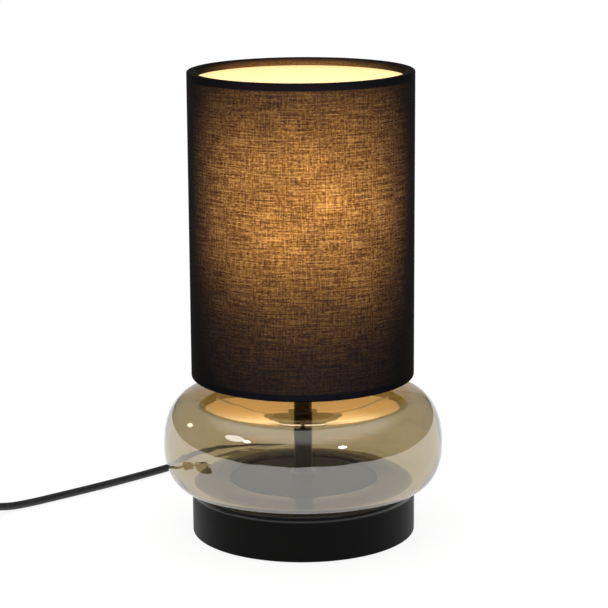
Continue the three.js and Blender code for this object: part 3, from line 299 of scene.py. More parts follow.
class Finish:
    """The nodes of a material, or of another owner of nodes. node() adds a node of any type: its settings
    first, then its sockets' values and links."""

    def __init__(self, name, owner=None):
        self.material = owner or bpy.data.materials.new(name)
        self.material.use_nodes = True
        self.tree = self.material.node_tree
        self.tree.nodes.clear()

    def node(self, kind, settings=None, inputs=None):
        made = self.tree.nodes.new(kind)
        for key, value in (settings or {}).items():
            setattr(made, key, value)
        for key, value in (inputs or {}).items():
            value = value.socket if isinstance(value, Signal) else value
            if isinstance(value, bpy.types.NodeSocket):
                self.tree.links.new(value, made.inputs[key])
            else:
                made.inputs[key].default_value = value
        return made

    def signal(self, kind, settings=None, inputs=None, output=0):
        return Signal(self, self.node(kind, settings, inputs).outputs[output])

    def place(self):
        return self.node("ShaderNodeTexCoord").outputs["Object"]

    def surface(self):
        return self.node("ShaderNodeUVMap", {"uv_map": "Surface"}).outputs[0]

    def parts(self, vector):
        split = self.node("ShaderNodeSeparateXYZ", None, {0: vector})
        return [Signal(self, output) for output in split.outputs]

    def join(self, x, y):
        return self.node("ShaderNodeCombineXYZ", None, {0: x, 1: y}).outputs[0]

    def reach(self, x, y):
        """Distance from the axis."""
        return self.signal("ShaderNodeVectorMath", {"operation": "LENGTH"}, {0: self.join(x, y)}, 1)

    def mix(self, share, first, last):
        return self.signal("ShaderNodeMix", {"data_type": "FLOAT"}, {0: share, 2: first, 3: last})

    def stretched(self, vector, scale):
        settings = {"operation": "MULTIPLY"}
        return self.node("ShaderNodeVectorMath", settings, {0: vector, 1: scale}).outputs[0]

    def noise(self, vector, scale, detail, roughness=0.5):
        inputs = {"Vector": vector, "Scale": scale, "Detail": detail, "Roughness": roughness}
        return self.signal("ShaderNodeTexNoise", None, inputs)

    def cells(self, vector, scale):
        return self.signal("ShaderNodeTexVoronoi", None, {"Vector": vector, "Scale": scale})

    def blend(self, share, first, last):
        first, last = (c if isinstance(c, bpy.types.NodeSocket) else (*c, 1) for c in (first, last))
        return self.node("ShaderNodeMix", {"data_type": "RGBA"}, {0: share, 6: first, 7: last}).outputs[2]

    def times(self, colour, signal):
        """A colour times a number."""
        inputs = {0: colour, "Scale": signal}
        return self.node("ShaderNodeVectorMath", {"operation": "SCALE"}, inputs).outputs[0]

    def rays(self, *kinds):
        """For each kind, 1 for a ray of that kind."""
        path = self.node("ShaderNodeLightPath").outputs
        return [Signal(self, path[f"Is {kind} Ray"]) for kind in kinds]

    def bump(self, height, distance, strength=1.0):
        inputs = {"Height": height, "Distance": distance, "Strength": strength}
        return self.node("ShaderNodeBump", None, inputs).outputs[0]

    def shade(self, **inputs):
        """The main shader node; a name's underscores stand for spaces."""
        inputs = {name.replace("_", " "): value for name, value in inputs.items()}
        return self.node("ShaderNodeBsdfPrincipled", None, inputs)

    def close(self, shader):
        self.node("ShaderNodeOutputMaterial", None, {"Surface": shader.outputs[0]})
        return self.material


def painted(name, colour, gloss, peel=0.00002, specular=0.5, dusty=0.35, gloss_band=None):
    """Sprayed paint: a fine orange peel, a little drift in gloss, and paler dust in its low places.
    Between the two heights of gloss_band hands and cloths have rubbed it glossy."""
    f = Finish(name)
    place = f.place()
    peel_height = f.noise(place, scale=900.0, detail=2.0)
    drift = f.noise(place, scale=40.0, detail=4.0)
    dust = f.noise(place, scale=2600.0, detail=1.0).ramp(0.62, 0.74, 0.0, dusty)
    pale = tuple(c * 2.2 + 0.01 for c in colour)
    rubbed = {}
    if gloss_band:
        low, high = gloss_band
        z = f.parts(place)[2]
        rubbed = {"Coat_Weight": z.ramp(low, low + 0.0012) * z.ramp(high - 0.0002, high, 1.0, 0.0),
                  "Coat_Roughness": 0.16}
    return f.close(f.shade(
        Base_Color=f.blend(dust, colour, pale), Roughness=drift * 0.12 + (gloss - 0.06),
        Specular_IOR_Level=specular, Normal=f.bump(peel_height, peel), **rubbed,
    ))


def moulded(name, colour, gloss):
    """Moulded plastic: a spark-eroded fine grain, faint flow marks and handling marks in its gloss."""
    f = Finish(name)
    place = f.place()
    flow = f.noise(f.stretched(place, (30.0, 30.0, 120.0)), scale=1.0, detail=3.0)
    grains = f.cells(place, scale=1500.0)
    dark, pale = (tuple(c * k for c in colour) for k in (0.85, 1.2))
    return f.close(f.shade(
        Base_Color=f.blend(flow, dark, pale),
        Roughness=f.noise(place, scale=90.0, detail=3.0) * 0.18 + (gloss - 0.09),
        Normal=f.bump(grains, distance=0.000015),
    ))


def rubbery(name, colour, gloss):
    """Soft black sheath or rubber: matt, with fine pores and a faint bloom."""
    f = Finish(name)
    place = f.place()
    bloom = f.noise(place, scale=130.0, detail=4.0).ramp(0.35, 0.8)
    pores = f.noise(place, scale=3500.0, detail=2.0)
    return f.close(f.shade(
        Base_Color=f.blend(bloom, colour, tuple(c * 1.8 + 0.004 for c in colour)),
        Roughness=bloom * 0.15 + (gloss - 0.05), Normal=f.bump(pores, distance=0.00002),
    ))


def metal(name, colour, gloss, stain, stained=0.25):
    """Plated or rolled metal: fine streaks in its gloss, and a dull stain in patches."""
    f = Finish(name)
    place = f.place()
    streaks = f.noise(f.stretched(place, (400.0, 400.0, 60.0)), scale=8.0, detail=3.0)
    patches = f.noise(place, scale=160.0, detail=4.0).ramp(0.45, 0.75, 0.0, stained)
    dull = tuple(c * s for c, s in zip(colour, stain))
    return f.close(f.shade(
        Base_Color=f.blend(patches, colour, dull), Metallic=1.0,
        Roughness=streaks * 0.2 + patches * 0.5 + (gloss - 0.1),
        Normal=f.bump(streaks, distance=0.000006),
    ))


def cast_iron():
    """Sand-cast iron: coarse pits over fine grains, with rust-brown stains."""
    f = Finish("ballast_iron")
    place = f.place()
    pits = f.noise(place, scale=500.0, detail=5.0, roughness=0.65)
    rust = f.noise(place, scale=60.0, detail=4.0).ramp(0.5, 0.7, 0.0, 0.6)
    return f.close(f.shade(
        Base_Color=f.blend(rust, (0.07, 0.07, 0.075), (0.13, 0.06, 0.03)),
        Metallic=rust * -0.7 + 0.7, Roughness=pits * 0.3 + 0.5, Normal=f.bump(pits, distance=0.0003),
    ))


def hardboard():
    """Pressed fibreboard: short dark fibres and a woven back grain."""
    f = Finish("cover_board")
    place = f.place()
    fibres = f.noise(f.stretched(place, (1.0, 4.0, 1.0)), scale=300.0, detail=5.0)
    fibres_across = f.noise(f.stretched(place, (4.0, 1.0, 1.0)), scale=350.0, detail=5.0)
    both = fibres * fibres_across
    return f.close(f.shade(
        Base_Color=f.blend(both.ramp(0.12, 0.4), (0.03, 0.02, 0.013), (0.1, 0.065, 0.04)),
        Roughness=0.85, Normal=f.bump(both, distance=0.0002),
    ))


def foam():
    """Closed-cell foam: small round cells."""
    f = Finish("pad_foam")
    cells = f.cells(f.place(), scale=900.0)
    return f.close(f.shade(
        Base_Color=f.blend(cells.ramp(0.0, 0.7), (0.008, 0.008, 0.008), (0.03, 0.03, 0.031)),
        Roughness=0.95, Normal=f.bump(cells, distance=0.0003),
    ))


def silicone():
    """Clear silicone pressed against black metal, which it shows, with a few cloudy patches."""
    f = Finish("gasket_silicone")
    cloud = f.noise(f.place(), scale=220.0, detail=3.0)
    return f.close(f.shade(
        Base_Color=f.blend(cloud.ramp(0.5, 0.8), (0.006, 0.006, 0.006), (0.03, 0.03, 0.03)),
        Roughness=cloud * 0.2 + 0.25, Specular_IOR_Level=0.2,
    ))


def opal_glass():
    """The lit globe: white glass that glows, a little less at its foot."""
    f = Finish("bulb_opal")
    z = f.parts(f.place())[2]
    cloud = f.noise(f.place(), scale=180.0, detail=2.0)
    glow = z.ramp(*GLOBE_FOOT, 0.35, 1.0) * (cloud * 0.1 + 0.95)
    colour = f.node("ShaderNodeRGB")
    colour.outputs[0].default_value = (1.0, 0.86, 0.62, 1)
    return f.close(f.shade(
        Base_Color=(0.85, 0.83, 0.78, 1), Roughness=0.25,
        Emission_Color=f.times(colour.outputs[0], glow), Emission_Strength=GLOBE_GLOW,
    ))


def painted_glow_profile(z, middle, spread):
    """How bright the painted glow of the bulb's light is at a height, 1 at its brightest: exp(-((z - middle) /
    spread)^2).
    """
    far = (z - middle) / spread
    return far.math("EXPONENT", far * far * -1.0)


def shade_lining():
    """Cream laminate with the bulb's light painted on as glow: brightest round the bulb, and dimmer and more
    orange towards its foot as painted shade, with the cloth's threads just showing through.
    """
    f = Finish("lining_laminate")
    u, v, _ = f.parts(f.surface())
    z = f.parts(f.place())[2]
    warp = f.noise(f.join(u * 1500.0, v * 60.0), scale=1.0, detail=2.0)
    weft = f.noise(f.join(u * 60.0, v * 1500.0), scale=1.0, detail=2.0)
    threads = warp * 0.5 + weft * 0.5
    # painted glow of the bulb on the lining; towards its foot it dims and turns orange, a painted shade
    lit = painted_glow_profile(z, *LINING_LIT)
    glow = (lit * (1 - LINING_FLOOR) + LINING_FLOOR) * (threads * 0.16 + 0.92)
    glow = glow * z.ramp(*LINING_FOOT, 0.22, 1.0)
    colour = f.blend(z.ramp(*LINING_FOOT), (1.0, 0.4, 0.04), (1.0, 0.8, 0.43))
    return f.close(f.shade(
        Base_Color=f.blend(threads, (0.6, 0.49, 0.33), (0.68, 0.57, 0.4)), Roughness=0.55,
        Emission_Color=f.times(colour, glow), Emission_Strength=LINING_GLOW,
        Normal=f.bump(threads, distance=0.00003),
    ))


def shade_linen():
    """Black linen over the lit lining. Warp and weft are rounded ridges whose thickness drifts along each
    thread, with slubs. The bulb's light through the cloth is painted on as glow: brighter where both are
    thin, warmer where one of them covers, with painted shade where the cloth lies double at the hems and
    the seam, and a painted glow on the turned-in top hem. The dark coat is the depth of the threads, which
    closes their gaps at a slant."""
    f = Finish("shade_linen")
    u, v, _ = f.parts(f.surface())
    x, y, z = f.parts(f.place())
    drift = f.noise(f.join(u * 55.0, v * 55.0), scale=1.0, detail=2.0)

    def ridges(across, along, runs):
        wave = (across + (drift - 0.5) * THREAD_SWAY) * (math.pi / THREAD_PITCH)
        ridge = wave.math("ABSOLUTE", wave.math("SINE", wave))
        thread = across * (0.8 / THREAD_PITCH)
        thick = f.noise(f.join(thread, along * runs), scale=1.0, detail=2.0, roughness=0.6)
        slub = f.noise(f.join(thread, along * SLUB_RUN), scale=1.0, detail=1.0)
        return ridge, thick * 0.6 + slub * 0.4

    warp, warp_thick = ridges(u, v, WARP_RUN)
    weft, weft_thick = ridges(v, u, WEFT_RUN)
    thick = warp_thick * 0.38 + weft_thick * 0.62
    cover = warp * weft
    thin = thick.ramp(0.36, 0.64, 1.0, 0.0)
    gap = (1 - cover) * (thin * 0.85 + 0.15)
    cloudy = f.noise(f.place(), scale=28.0, detail=3.0).ramp(0.3, 0.7, 0.8, 1.15)

    reach = f.reach(x, y)
    outside = reach.ramp((SHADE_R - 0.6) * MM, (SHADE_R - 0.2) * MM)
    folded, single = HEM_SOFT
    # painted shade: the painted glow is cut where the cloth lies double at the hems and at the seam
    hem_low = z.ramp((SHADE_BOTTOM + folded) * MM, (SHADE_BOTTOM + single) * MM, HEM_GLOW_LEFT, 1.0)
    hem_high = z.ramp((SHADE_TOP - single) * MM, (SHADE_TOP - folded) * MM, 1.0, HEM_GLOW_LEFT)
    seam = u.math("ABSOLUTE", u - SEAM_ANGLE * SHADE_R * MM).ramp(*SEAM_SOFT, SEAM_GLOW_LEFT, 1.0)
    # painted glow of the bulb's light through the cloth, brightest at the bulb's height
    light = (painted_glow_profile(z, *CLOTH_LIT) + 0.03) * outside * hem_low * hem_high * seam * cloudy
    turned_in = reach.ramp((HEM_R - 0.1) * MM, (HEM_R + 2.6) * MM, 1.0, 0.0)
    # painted glow of the bulb's light on the inside of the turned-in top hem
    painted_hem_glow = (z - SHADE_TOP * MM).ramp(-0.0052, 0.0, HEM_PAINTED_GLOW, HEM_PAINTED_GLOW * 0.1) * turned_in
    through = light * (gap * gap * 1.9 + thin * 0.5 + 0.16) + painted_hem_glow * (thin * 0.6 + 0.4)
    hue = f.noise(f.join(u * 700.0, v * 1500.0), scale=1.0, detail=1.0).ramp(0.36, 0.64)
    colour = f.blend(hue, f.blend(thin, (1.0, 0.28, 0.04), (1.0, 0.42, 0.125)),
                     f.blend(thin, (1.0, 0.38, 0.01), (1.0, 0.54, 0.06)))

    fibres = f.noise(f.join(u * 9000.0, v * 9000.0), scale=1.0, detail=2.0)
    height = warp * 0.5 + weft * 0.5 + thick * 0.8 + fibres * 0.15
    dark = f.blend(thick.ramp(0.3, 0.7), (0.031, 0.034, 0.037), (0.058, 0.063, 0.069))
    return f.close(f.shade(
        Base_Color=dark, Roughness=0.92, Specular_IOR_Level=0.15,
        Coat_Weight=1.0, Coat_Tint=(*THREAD_SHADOW, 1), Coat_IOR=1.01, Coat_Roughness=0.6,
        Sheen_Weight=0.04, Sheen_Roughness=0.5, Sheen_Tint=(0.8, 0.75, 0.7, 1),
        Emission_Color=f.times(colour, through), Emission_Strength=CLOTH_GLOW,
        Normal=f.bump(height, distance=0.00012, strength=0.8),
    ))


def amber_glass(foot, outside):
    """Blown amber glass, darker where the way through it is longer. Its top under the shade is tinted deeper
    amber, a painted golden glow of the lit shade above it. Between two lengths along its profile,
    in mm, the outside has a thin lustre that throws back a share of the light."""
    f = Finish("blown_glass")
    place = f.place()
    along = f.parts(f.surface())[1]
    lustre_share = (along.ramp(foot * MM, (foot + 4) * MM, 0.0, LUSTRE)
                    * along.ramp((outside - 1) * MM, outside * MM, 1.0, 0.0))
    waves = f.noise(place, scale=22.0, detail=2.0) + f.noise(place, scale=70.0, detail=1.0) * 0.12
    normal = f.bump(waves, distance=0.0006)
    x, y, z = f.parts(place)
    # painted glow: the top under the shade is tinted deeper amber for the golden light of the lit shade
    top = f.reach(x, y).ramp(*TOP_GLOW_R, 1.0, 0.0) * z.ramp(*TOP_GLOW_Z)
    clear = f.shade(
        Base_Color=f.blend(top, GLASS_TINT, TOP_GLOW_TINT), Roughness=0.0, IOR=1.45, Transmission_Weight=1.0,
        Normal=normal)
    lustre = f.shade(Base_Color=(*LUSTRE_TINT, 1), Metallic=1.0, Roughness=0.03, Normal=normal)
    mixed = f.node(
        "ShaderNodeMixShader", None, {0: lustre_share, 1: clear.outputs[0], 2: lustre.outputs[0]})
    amber = {"Color": (*GLASS_AMBER, 1), "Density": GLASS_DENSITY}
    inside = f.node("ShaderNodeVolumeAbsorption", None, amber)
    f.node("ShaderNodeOutputMaterial", None, {"Surface": mixed.outputs[0], "Volume": inside.outputs[0]})
    return f.material


finishes = {
    "satin_black": painted(
        "drum_paint", (0.0036, 0.0034, 0.0032), 0.45, peel=0.000008, specular=0.07, dusty=0.08,
        gloss_band=((BASE_TOP - 6) * MM, (BASE_TOP - 0.1) * MM)),
    "stem_black": painted("stem_paint", (0.009, 0.009, 0.009), 0.3, specular=0.4),
    "cast_iron": cast_iron(),
    "fibreboard": hardboard(),
    "foam": foam(),
    "zinc": metal("zinc_plate", (0.62, 0.63, 0.64), 0.32, (0.7, 0.68, 0.62)),
    "brass": metal("plain_brass", (0.72, 0.5, 0.2), 0.25, (0.45, 0.35, 0.3)),
    "clear_silicone": silicone(),
    "holder_black": moulded("holder_plastic", (0.018, 0.017, 0.016), 0.42),
    "holder_cream": moulded("core_thermoset", (0.72, 0.66, 0.54), 0.4),
    "carrier_white": painted("wire_coat", (0.7, 0.67, 0.6), 0.35),
    "opal_glass": opal_glass(),
    "nickel": metal("nickel_plate", (0.66, 0.64, 0.6), 0.2, (0.7, 0.62, 0.5), stained=0.15),
    "cord_black": rubbery("lead_sheath", (0.012, 0.012, 0.0125), 0.5),
    "wire_brown": moulded("brown_insulation", (0.11, 0.04, 0.014), 0.4),
    "wire_blue": moulded("blue_insulation", (0.02, 0.09, 0.36), 0.4),
    "switch_black": moulded("switch_plastic", (0.014, 0.014, 0.0145), 0.34),
    "shade_fabric": shade_linen(),
    "shade_lining": shade_lining(),
}

for entry in frame["record"]["subparts"]:
    if entry["material_slot"] in finishes:
        cad_mesh = frame["nodes"][entry["node"]].data
        cad_mesh.materials.clear()
        cad_mesh.materials.append(finishes[entry["material_slot"]])


def ringed(name, profile, slot, node, radius=None, body="base", sides=96, place=None, change=None):
    """A turned piece that stands for one node. Its corners are rounded as in rounded()."""
    grid = turned(rounded(profile, radius), sides)
    grid = change(grid) if change else grid
    grid = placed(grid, place) if place else grid
    return piece(name, grid, body, slot, node)


def ring_profile(outer, inner, low, high):
    """Rectangle between two radii and two heights."""
    return [(outer, low), (outer, high), (inner, high), (inner, low)]


# Lead: the route on the table, the switch in line with it, the coil with the plug on top

LEAD_ROUTE = [
    (0, 102.1, 9), (0, 108.5, 8.9), (-0.6, 117, 6.9), (-3.5, 128, 4.2), (-10, 140, 2.9), (-21, 150.5, 2.8),
    (-36, 157.5, 2.8), (-53, 160, 2.8), (-69, 157.5, 2.8), (-82, 150.5, 2.8), (-92.5, 141, 2.8),
    (-102, 130.6, 2.8), (-113, 119.6, 2.8), (-127, 106.2, 2.8), (-143, 91.4, 2.8), (-160, 76.6, 2.8),
    (-177, 62.4, 2.8), (-193, 49.2, 2.9), (-206, 38.5, 3.8), (-217, 29.5, 6.2), (-224, 23.8, 7.2),
]
SWITCH_L, SWITCH_H = 60, 14.5
LEAD_IN, COIL_INNER_R, COIL_PITCH, COIL_Z = 40, 22, 5.86, 3.7
TURNS_PER_LAYER, CLIMB_TURNS, COIL_STEPS, BEND_STEPS = 3 + 5 / 12, 1 / 4, 36, 12
EXIT_BEND_R, PLUG_T = 22, 13.7

lamp_lead = np.vstack([[(0, BASE_R + GAP, EXIT_Z)], smooth_line(LEAD_ROUTE, per_span=8)])
route_end = np.array(LEAD_ROUTE[-1], float)
heading = math.atan2(*(route_end - LEAD_ROUTE[-2])[1::-1])
ahead = np.array([math.cos(heading), math.sin(heading), 0])
coil_turns = 2 * TURNS_PER_LAYER
coil_outer_r = COIL_INNER_R + COIL_PITCH * TURNS_PER_LAYER
entry_angle = heading - TURN / 4
exit_angle = entry_angle + TURN * coil_turns
switch_exit = GAP + SWITCH_L + GAP


def on_lead(distance, z):
    """Straight on from the route's end, at a distance and a height."""
    return np.array([*(route_end + ahead * distance)[:2], z])


def towards(angle):
    """Level unit vector (cos a, sin a, 0)."""
    angle = np.asarray(angle)
    return np.stack([np.cos(angle), np.sin(angle), np.zeros_like(angle)], -1)


def eased(value, low, high):
    """From 0 at low to 1 at high by 3 s^2 - 2 s^3."""
    share = np.clip((value - low) / (high - low), 0, 1)
    return share * share * (3 - 2 * share)


coil_centre = on_lead(switch_exit + LEAD_IN, 0) + towards(heading + TURN / 4) * coil_outer_r


def coil_line():
    """Spiral in over the lower layer and out over the upper: at turn n the radius is the outer one less
    pitch * min(n, turns - n), and the height steps up one pitch where the spiral reverses and at its end.
    A quarter bend then carries the lead over the coil to the plug."""
    n = np.arange(coil_turns * COIL_STEPS + 1) / COIL_STEPS
    inward = np.minimum(n, coil_turns - n)
    layer = (eased(n, TURNS_PER_LAYER - CLIMB_TURNS, TURNS_PER_LAYER + CLIMB_TURNS)
             + eased(n, coil_turns - CLIMB_TURNS, coil_turns))
    wound = coil_centre + towards(entry_angle + TURN * n) * (coil_outer_r - COIL_PITCH * inward)[:, None]
    wound[:, 2] = COIL_Z + COIL_PITCH * layer
    share = np.arange(1, BEND_STEPS + 1) / BEND_STEPS
    bend_centre = coil_centre + towards(exit_angle) * (coil_outer_r - EXIT_BEND_R)
    bend = bend_centre + towards(exit_angle + TURN / 4 * share) * EXIT_BEND_R
    plug_z = COIL_Z + COIL_PITCH + CORD_R + GAP + PLUG_T / 2
    bend[:, 2] = COIL_Z + 2 * COIL_PITCH + (plug_z - COIL_Z - 2 * COIL_PITCH) * eased(share, 0, 1)
    last = bend[-1] + towards(exit_angle + TURN / 2) * 2 * CORD_R
    return np.vstack([on_lead(switch_exit + LEAD_IN - 2 * CORD_R, COIL_Z), wound, bend, last])


lead_in_length = LEAD_IN - 2 * CORD_R - GAP
lead_in = smooth_line([
    on_lead(switch_exit + lead_in_length * run, SWITCH_H / 2 + (COIL_Z - SWITCH_H / 2) * drop)
    for run, drop in ((0, 0), (0.15, 0), (0.4, 0.35), (0.65, 0.85), (0.85, 1), (1, 1))
], per_span=5)
plug_lead = np.vstack([lead_in, coil_line()])
plug_heading = exit_angle + TURN / 2
plug_start = plug_lead[-1] + towards(plug_heading) * GAP
to_plug = Matrix.Translation(plug_start * MM) @ Matrix.Rotation(plug_heading, 4, "Z")
along_x = to_plug @ Matrix.Rotation(TURN / 4, 4, "Y")
along_y = Matrix.Rotation(-TURN / 4, 4, "X")

lead_to_switch = piece(
    "lead_to_switch", tube(lamp_lead, CORD_R, sides=20), "base", "cord_black", "cord_run_lamp")
lead_to_plug = piece(
    "lead_to_plug", tube(plug_lead, CORD_R, sides=16), "base", "cord_black",
    ["cord_run_switch", "cord_coil"])


def ribbed(start_r, end_r, length, ribs, depth):
    """Tapered sleeve with ribs: the radius falls evenly, and dips by depth between two ribs."""
    step = length / ribs
    wave = (0, 0), (0.55, 0), (0.62, 1), (0.93, 1)
    corners = []
    for i in range(ribs):
        r = start_r + (end_r - start_r) * i / (ribs - 1)
        corners += [(r - dip * depth, (i + share) * step) for share, dip in wave]
    return corners


RELIEF_START, RELIEF_CONE, RELIEF_RIBS_L, BORE_R = 71.4, 6.4, 24, 2.75
relief_end = RELIEF_CONE + RELIEF_RIBS_L
relief_outline = [
    (5.6, 0), (5.6, 2), (4.1, 2), (4.1, 4.4), (5.6, 4.4), (5.6, RELIEF_CONE),
    *[(r, z + RELIEF_CONE) for r, z in ribbed(4.1, 3.4, RELIEF_RIBS_L, 6, 0.45)],
    (BORE_R + 0.2, relief_end), (BORE_R, relief_end - 0.4), (BORE_R, 0),
]
strain_relief = ringed(
    "lead_strain_relief", relief_outline, "cord_black", "cord_strain_relief", 0.3, sides=48,
    place=Matrix.Translation((0, RELIEF_START * MM, EXIT_Z * MM)) @ along_y)

PLUG_RELIEF_L, PLUG_L, PLUG_W = 16, 35.5, 26
PLUG_POWER, PLUG_END_L, PLUG_END_IN, PLUG_SIDES = 3.2, 2.2, 1.6, 64
relief = [(r, PLUG_RELIEF_L - z) for r, z in reversed(ribbed(5.3, 3.3, PLUG_RELIEF_L, 6, 0.4))]
plug_relief = ringed(
    "plug_bend_relief", [(BORE_R, 0), (3.2, 0), *relief[1:], (BORE_R, PLUG_RELIEF_L)],
    "switch_black", "plug_relief", 0.25, sides=40, place=along_x)


def plug_shell():
    """Plug body: the section at a share s of its length is a superellipse of PLUG_POWER whose half width
    swells from the lead to the pins, and whose ends round off over the last millimetres."""
    share = np.concatenate([[0], np.linspace(0, 1, 49), [1]])
    reach = np.interp(share, [0, 0.12, 0.35, 0.55, 0.72, 1], [0.46, 0.5, 0.74, 0.94, 1, 0.96])
    reach = np.convolve(np.pad(reach, 3, mode="edge"), np.ones(7) / 7, "valid")
    ends = np.minimum(share * PLUG_L, (1 - share) * PLUG_L)
    pulled_in = PLUG_END_IN * (1 - np.clip(ends / PLUG_END_L, 0, 1)) ** 2
    half_w, half_t = reach * PLUG_W / 2 - pulled_in, PLUG_T / 2 - pulled_in
    half_w[[0, -1]] = half_t[[0, -1]] = 0
    a = np.arange(PLUG_SIDES) * TURN / PLUG_SIDES
    bend = lambda c: np.sign(c) * np.abs(c) ** (2 / PLUG_POWER)
    x = np.broadcast_to((PLUG_RELIEF_L + GAP + share * PLUG_L)[:, None], (len(share), PLUG_SIDES))
    points = np.stack([x, half_w[:, None] * bend(np.cos(a)), half_t[:, None] * bend(np.sin(a))], -1)
    return {"points": points * MM, "rows": False, "columns": True}


plug_body = piece("plug_shell", placed(plug_shell(), to_plug), "base", "switch_black", "plug_body")
PIN_SPACING, PIN_R, PIN_L, PIN_SLEEVE_L, PIN_CORE_R = 18.6, 2, 19, 10, 1.25
for side, y in (("left", PIN_SPACING / 2), ("right", -PIN_SPACING / 2)):
    at_face = along_x @ Matrix.Translation((0, y * MM, (PLUG_RELIEF_L + GAP + PLUG_L + GAP) * MM))
    neck = PIN_SLEEVE_L + GAP
    pin = [(0, 0), (PIN_CORE_R, 0), (PIN_CORE_R, neck), (PIN_R, neck), (PIN_R, PIN_L), (0, PIN_L)]
    ringed("pin_" + side, pin, "nickel", "plug_pin_" + side, 0.9, sides=32, place=at_face)
    cover = ring_profile(PIN_R, PIN_R - 0.45, 0, PIN_SLEEVE_L - GAP)
    ringed(
        "pin_cover_" + side, cover, "switch_black", "plug_sleeve_" + side, 0.1, sides=32, place=at_face)

TIE_T, TIE_W, TIE_TURN, TIE_STEPS = 0.6, 8, math.radians(170), 8


def tie_path():
    """Once round the coil's section: a rectangle whose corners are quarters of a circle of radius r,
    centred half - r and half_h - r from its middle. The spiral has come in a little at the strap's angle."""
    come_in = COIL_PITCH * (coil_turns % 1 - TIE_TURN / TURN)
    inner, outer = COIL_INNER_R - CORD_R - GAP, coil_outer_r - come_in + CORD_R + GAP
    r = CORD_R + TIE_T / 2
    half, half_h = (outer - inner + TIE_T) / 2, COIL_PITCH / 2 + r + GAP
    corners = []
    for quarter, (side, level) in enumerate(((1, 1), (-1, 1), (-1, -1), (1, -1))):
        a = (quarter + np.linspace(0, 1, TIE_STEPS + 1)) * TURN / 4
        across, up = side * (half - r) + r * np.cos(a), level * (half_h - r) + r * np.sin(a)
        corners.append(np.stack([across, 0 * a, up], 1))
    return np.vstack(corners) + ((inner + outer) / 2, 0, COIL_Z + COIL_PITCH / 2)


cord_strap = piece(
    "cord_strap",
    placed(tube(tie_path(), TIE_T / 2, sides=24, up=(0, 1, 0), closed=True, flatness=TIE_W / TIE_T),
           Matrix.Translation(coil_centre * MM) @ Matrix.Rotation(entry_angle + TIE_TURN, 4, "Z")),
    "base", "cord_black", "cord_tie")


# Base, stem and glass

in_base_r, in_boss_r, in_edge_r, in_base_top, in_boss_top = (
    outside - BASE_SHEET for outside in (BASE_R, BOSS_R, BASE_EDGE_R, BASE_TOP, BOSS_TOP))
drum = [  # radius, height, corner radius
    (BASE_R, BASE_LIFT, 0.5), (BASE_R, BASE_TOP, BASE_EDGE_R), (BOSS_R, BASE_TOP, 0.9),
    (BOSS_R, BOSS_TOP, 1.3), (ROD_HOLE_R, BOSS_TOP, 0.3), (ROD_HOLE_R, in_boss_top, 0.3),
    (in_boss_r, in_boss_top, 0.3), (in_boss_r, in_base_top, 0.3), (in_base_r, in_base_top, in_edge_r),
    (in_base_r, BASE_LIFT, 0.5),
]
ringed("drum", drum, "satin_black", "base_shell", sides=192)
STEM_RINGS = [  # name, node, finish, outer radius, hole's radius, lower and upper height, corner radius
    ("glass_foot_gasket", "glass_gasket", "clear_silicone", 70, GLASS_MOUTH_R, 33.3, 33.8, 0.15),
    ("collar", "stem_collar", "stem_black", 9, ROD_HOLE_R, 36, 40, 0.8),
    ("stem", "stem_tube", "stem_black", STEM_R, ROD_HOLE_R, 40.3, 90.7, 0.25),
    ("washer_inside_glass", "glass_support_washer", "stem_black", 12.5, ROD_HOLE_R, 91, 92.2, 0.35),
    ("washer_gasket", "glass_top_gasket", "clear_silicone", 11, ROD_HOLE_R, 95.6, 96.4, 0.25),
    ("washer_on_glass", "glass_cap_washer", "stem_black", 12.5, ROD_HOLE_R, 96.5, 97.7, 0.35),
    ("neck", "neck_tube", "stem_black", STEM_R, ROD_HOLE_R, 98, 108.6, 0.25),
]
for name, node, slot, outer, hole, low, high, corner in STEM_RINGS:
    ringed(name, ring_profile(outer, hole, low, high), slot, node, corner)


def glass_top(r, seat):
    """Height of the dished top, whose slope turns from dish upwards to lean downwards at its edge:
    dz/dr = dish - (dish + lean) (r / edge)^power."""
    run = lambda r: (r / GLASS_EDGE_R) ** (DISH_POWER + 1) * GLASS_EDGE_R / (DISH_POWER + 1)
    return seat + GLASS_DISH * (r - GLASS_FLAT_R) - (GLASS_DISH + GLASS_LEAN) * (run(r) - run(GLASS_FLAT_R))


def glass_shoulder(side_r, seat):
    """From the widest ring over the shoulder, which leans by lean (side_r - r), and over the dished top."""
    level = glass_top(GLASS_EDGE_R, seat) - GLASS_LEAN * (side_r - GLASS_EDGE_R)
    line = superellipse((side_r, GLASS_BELLY), (GLASS_EDGE_R, level), SHOULDER_POWER, steps=34)
    line[:, 1] += GLASS_LEAN * (side_r - line[:, 0])
    r = np.linspace(GLASS_EDGE_R, GLASS_FLAT_R, 17)[1:]
    return np.vstack([line, np.stack([r, glass_top(r, seat)], 1), [(GLASS_HOLE_R + 0.4, seat)]])


def glass_outline():
    """Outside from the mouth up over the belly and the shoulder to the hole, then back down inside."""
    belly, in_belly = (GLASS_R, GLASS_BELLY), (GLASS_R - GLASS_WALL, GLASS_BELLY)
    foot = (GLASS_FOOT_R, GLASS_BOTTOM)
    in_foot = (GLASS_FOOT_R - GLASS_WALL / 2, GLASS_BOTTOM + GLASS_WALL)
    outside = np.vstack([
        rounded_foot(), superellipse(belly, foot, BELLY_POWER, steps=22)[::-1],
        glass_shoulder(GLASS_R, GLASS_TOP)[1:]])
    inside = np.vstack([
        glass_shoulder(GLASS_R - GLASS_WALL, GLASS_TOP - GLASS_WALL)[::-1],
        superellipse(in_belly, in_foot, BELLY_POWER, steps=22)[1:],
        [(FLAT_FOOT_R, in_foot[1]), (GLASS_MOUTH_R + 1.2, in_foot[1])]])
    return outside, inside


